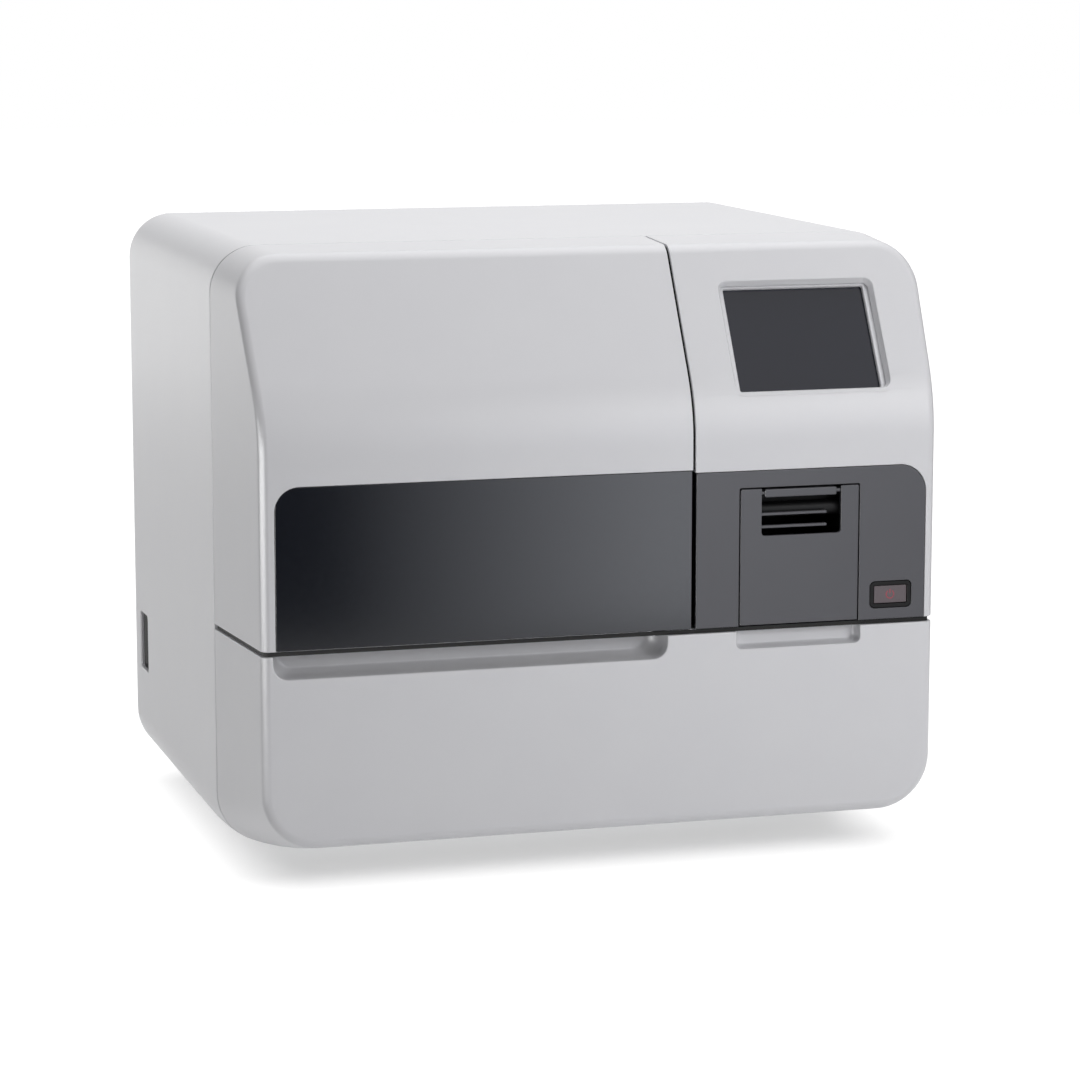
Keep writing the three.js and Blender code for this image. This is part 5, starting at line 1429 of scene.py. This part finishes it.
def make_supply():
    """Sheet case with a row of slots in its lid, and a terminal strip along its front."""
    xs, ys, zs = spans("power_supply")
    strip = ys[0] + 10
    case = rounded_block("power_supply_case", xs, (strip, ys[1]), zs, 1, 0.8, "x")
    join(case, rounded_block("shelf", xs, (ys[0], strip + 1), (zs[0], zs[0] + 2), 0.6, 0.4, "x"))
    slot = ((ys[0] + 24, ys[1] - 14), 1.95, mouth(0.4, 2, 0.2), facing("z", zs[1], -1), 7)
    for index in range(13):
        pocket(case, near(xs[0] + 16 + index * 9, 2), *slot)
    settle_node(case, "power_supply")
    rail_z = (zs[0] + 2, zs[0] + 16)
    rail = rounded_block("supply_terminals", wider(xs, -10), (ys[0], strip), rail_z, 1, 0.5, "x")
    places = [xs[0] + 18 + index * 13 for index in range(9)]
    cell = ((ys[0] - 1, ys[0] + 7), (zs[0] + 7, zs[0] + 20), 0.4, 0.1, "x")
    for x in places:
        cut(rail, rounded_block("cell", near(x, 5), *cell))
    settle(rail, "body", "black_plastic")
    screws("supply_screws", grid(places, [ys[0] + 3.5]), "z", zs[0] + 7, 2.4)


def make_board():
    """Circuit board on four posts, with chips, sockets and capacitors on its far face."""
    xs, ys, zs = spans("main_board")
    face, low_x, low_z = ys[1], xs[0], zs[0]
    sheet = rounded_block("main_board_laminate", xs, (face - 1.6, face), zs, 3, 0.1, "y")
    for place in grid(wider(xs, -8), wider(zs, -8)):
        post = [(3, ys[0]), (3, face - 1.5)]
        join(sheet, turned("post", post, about("y", *place), "y", 24))
    settle_node(sheet, "main_board")
    chips, sockets, cans = [], [], []
    foot = face - 0.05
    for u, v, wide, tall in CHIPS:
        sides = (near(low_x + u, wide / 2), (foot, face + 2.2), near(low_z + v, tall / 2))
        chips.append(rounded_block("board_chips", *sides, 0.5, 0.3, "y"))
    settle(joined(chips), "body", "black_plastic")
    for index in range(6):
        x = low_x + (28 + 28 * index)
        outer = (near(x, 10), (foot, face + 9), (low_z + 6, low_z + 13))
        inner = (near(x, 9), (face + 2, face + 12), (low_z + 7, low_z + 12))
        socket = rounded_block("board_sockets", *outer, 0.6, 0.4, "y")
        sockets.append(cut(socket, rounded_block("cell", *inner, 0.4, 0.1, "y")))
    settle(joined(sockets), "body", "white_plastic")
    for u, v, r in CANS:
        top = 2.2 * r
        can = steps(face, (r, -0.05), (r, 2), (0.9 * r, 2.6), (r, 3.2), (r, top - 0.5), (0.92 * r, top))
        cans.append(turned("board_capacitors", can, about("y", low_x + u, low_z + v), "y", 28))
    settle(joined(cans), "body", "aluminium")


def make_pump():
    """Rinse pump: a ribbed motor can under a square head with two barbed ports."""
    xs, ys, zs = spans("rinse_pump")
    x, y = mid(xs), mid(ys)
    head_low = zs[1] - 22
    profile = steps(zs[0], (22.5, 0), (24, 1.5))
    for level in np.arange(zs[0] + 5, head_low - 6, 5):
        profile += steps(level, (24, 0), (24, 2.6), (23, 3.2), (23, 4.4))
    can = turned("rinse_pump_body", profile + steps(head_low, (22, 1)), about("z", x, y), "z", 56)
    join(can, rounded_block("head", near(x, 20), near(y, 20), (head_low, zs[1]), 4, 1))
    centre = about("x", y, head_low + 11)
    for way in (-1, 1):
        barb = ((3, 18), (3, 20.6), (3.6, 20.8), (2.6, 22.2), (3.3, 22.3), (2.4, 23.9))
        join(can, turned("port", steps(x, *((r, way * along) for r, along in barb)), centre, "x", 28))
        bore(can, centre, "x", 1.6, (x + way * 19, x + way * 26), 16)
    settle_node(can, "rinse_pump")
    screws("pump_screws", grid(near(x, 15), near(y, 15)), "z", zs[1], 2)


make_deck()
make_rack()
make_heater()
make_detector()
make_tub("reaction_tube_tray_moulding", "reaction_tube_tray", 3)
make_tub("used_tube_box_moulding", "used_tube_box", 2)
for make in (
    make_rinse_cup, make_rail, make_arm, make_probe, make_pulleys, make_belt, make_motor, make_platen,
    make_paper, make_switch, make_feet, make_rear_panel, make_rear_marks, make_nipples, make_inlet,
    make_port, make_fan, make_supply, make_board, make_pump,
):
    make()


# Studio: floor, a dark flag for the window's reflection, a black card beside the object, and soft lights
FLOOR_SIDE = 12000
FLOOR_GLOW = 0.42
FLOOR_LEVEL = 1.18
FLOOR_SHADE = (0.22, 0.16, 0.0)
FLOOR_FADE = 0.1
FLAG_PLACE = ((-1200, -1200, 2), (1600, -1200, 750))
FLAG_X = (0.0, 0.38, 0.6)
FLAG_LEVEL = (0.1, 3.6, 0.3)
FLAG_TINT = (0.92, 0.94, 1.0, 1.0)
CARD_PLACE = ((900, -300, 2), (900, 1200, 900))
AMBIENT = 0.13
MIDDLE = (0.0, 0.0, 0.25)
CAMERA_PLACE = (-0.8066, -2.8148, 0.7097)
CAMERA_TURN = (math.pi / 2 - 0.163, 0, -0.285)
CAMERA_LENS = 118.1
CAMERA_SENSOR = 36


def math_node(tree, operation, *values, kind="Math"):
    return add(tree, kind, dict(enumerate(values)), operation=operation).outputs[0]


def ramp(tree, value, froms, tos, **settings):
    """Carry a value from one stretch to another."""
    ends = {"From Min": froms[0], "From Max": froms[1], "To Min": tos[0], "To Max": tos[1]}
    return add(tree, "MapRange", {"Value": value, **ends}, **settings).outputs["Result"]


def seen_by_eye(tree):
    """One where a ray comes straight from the camera, a mirror or glass."""
    path = add(tree, "LightPath").outputs
    either = math_node(tree, "MAXIMUM", path["Is Camera Ray"], path["Is Glossy Ray"])
    return math_node(tree, "MAXIMUM", either, path["Is Transmission Ray"])


def floor_shader(tree):
    """White to the eye; the shadow shows only close round the body's footprint."""
    plain = add(tree, "BsdfDiffuse", {"Color": linear("#f4f4f4")})
    glow = add(tree, "Emission", {"Color": (1, 1, 1, 1), "Strength": FLOOR_LEVEL})
    vector = "VectorMath"
    place = add(tree, "TexCoord").outputs["Object"]
    side = math_node(tree, "ABSOLUTE", place, kind=vector)
    past = math_node(tree, "SUBTRACT", side, FLOOR_SHADE, kind=vector)
    outside = math_node(tree, "MAXIMUM", past, (0, 0, 0), kind=vector)
    far = add(tree, vector, {0: outside}, operation="LENGTH").outputs["Value"]
    white = ramp(tree, far, (0.0, FLOOR_FADE), (FLOOR_GLOW, 1.0), interpolation_type="SMOOTHSTEP")
    share = math_node(tree, "MULTIPLY", seen_by_eye(tree), white)
    return add(tree, "MixShader", {"Fac": share, 1: plain.outputs[0], 2: glow.outputs[0]})


def flag_shader(tree):
    """Light that rises along X over the window's reflection and falls off again beside it."""
    place = add(tree, "TexCoord").outputs["Object"]
    across = add(tree, "SeparateXYZ", {"Vector": place}).outputs["X"]
    rise = ramp(tree, across, FLAG_X[:2], FLAG_LEVEL[:2])
    fall = ramp(tree, across, FLAG_X[1:], (1.0, FLAG_LEVEL[2]), interpolation_type="SMOOTHSTEP")
    return add(tree, "Emission", {"Color": FLAG_TINT, "Strength": math_node(tree, "MULTIPLY", rise, fall)})


def card_shader(tree):
    return add(tree, "BsdfDiffuse", {"Color": linear("#202020")})


def screen(name, corners, surface, build, *hidden):
    """A flat stage piece with a surface of its own, hidden from some kinds of ray."""
    piece = new_object(name, corners, [(0, 1, 2, 3)])
    made = bpy.data.materials.new(surface)
    made.use_nodes = True
    tree = made.node_tree
    tree.nodes.clear()
    out = add(tree, "OutputMaterial")
    tree.links.new(build(tree).outputs[0], out.inputs["Surface"])
    piece.data.materials.append(made)
    for kind in hidden:
        setattr(piece, "visible_" + kind, False)
    piece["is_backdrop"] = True


def upright(low_end, high_end):
    """Corners of an upright sheet between two opposite ones."""
    (x0, y0, z0), (x1, y1, z1) = low_end, high_end
    return [(x0, y0, z0), (x1, y1, z0), (x1, y1, z1), (x0, y0, z1)]


def make_studio():
    side = FLOOR_SIDE
    corners = [(-side, -side, 0), (side, -side, 0), (side, side, 0), (-side, side, 0)]
    screen("floor", corners, "floor_white", floor_shader)
    screen("flag", upright(*FLAG_PLACE), "flag_gradient", flag_shader, "camera", "diffuse", "shadow")
    screen("right_card", upright(*CARD_PLACE), "card_black", card_shader, "camera", "shadow")
    world = bpy.data.worlds.new("studio")
    bpy.context.scene.world = world
    world.use_nodes = True
    tree = world.node_tree
    level = add(tree, "MapRange", {"Value": seen_by_eye(tree), "To Min": AMBIENT, "To Max": 1.0})
    sky = tree.nodes["Background"]
    sky.inputs["Color"].default_value = (1, 1, 1, 1)
    tree.links.new(level.outputs["Result"], sky.inputs["Strength"])


def soft_light(name, place, aim, size, power):
    """A rectangular softbox that points at a place on the object."""
    lamp = bpy.data.lights.new(name, "AREA")
    lamp.shape = "RECTANGLE"
    lamp.size, lamp.size_y = size
    lamp.energy = power
    box = bpy.data.objects.new(name, lamp)
    bpy.context.scene.collection.objects.link(box)
    box.location = place
    box.rotation_euler = (Vector(aim) - Vector(place)).to_track_quat("-Z", "Y").to_euler()
    box.visible_camera = False
    return box


make_studio()
soft_light("overhead", (0.1, 0.2, 2.2), MIDDLE, (2.2, 2.2), 33)
soft_light("right_front", (0.95, -1.7, 0.95), MIDDLE, (0.9, 0.9), 14.5)
soft_light("left_rear", (-1.35, 2.4, 0.42), MIDDLE, (1.8, 0.8), 5.2)
rim = soft_light("left_rim", (-1.3, -0.6, 0.17), (-0.28, -0.25, 0.2), (1.5, 0.52), 34)
rim.visible_diffuse = False

bpy.context.scene.view_settings.view_transform = "Standard"
lens = bpy.data.cameras.new("camera")
lens.lens = CAMERA_LENS
lens.sensor_width = CAMERA_SENSOR
camera = bpy.data.objects.new("camera", lens)
bpy.context.scene.collection.objects.link(camera)
camera.location = CAMERA_PLACE
camera.rotation_euler = CAMERA_TURN
bpy.context.scene.camera = camera

sizes = [[list(corner) for corner in pair] for pair in (cad_box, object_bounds())]
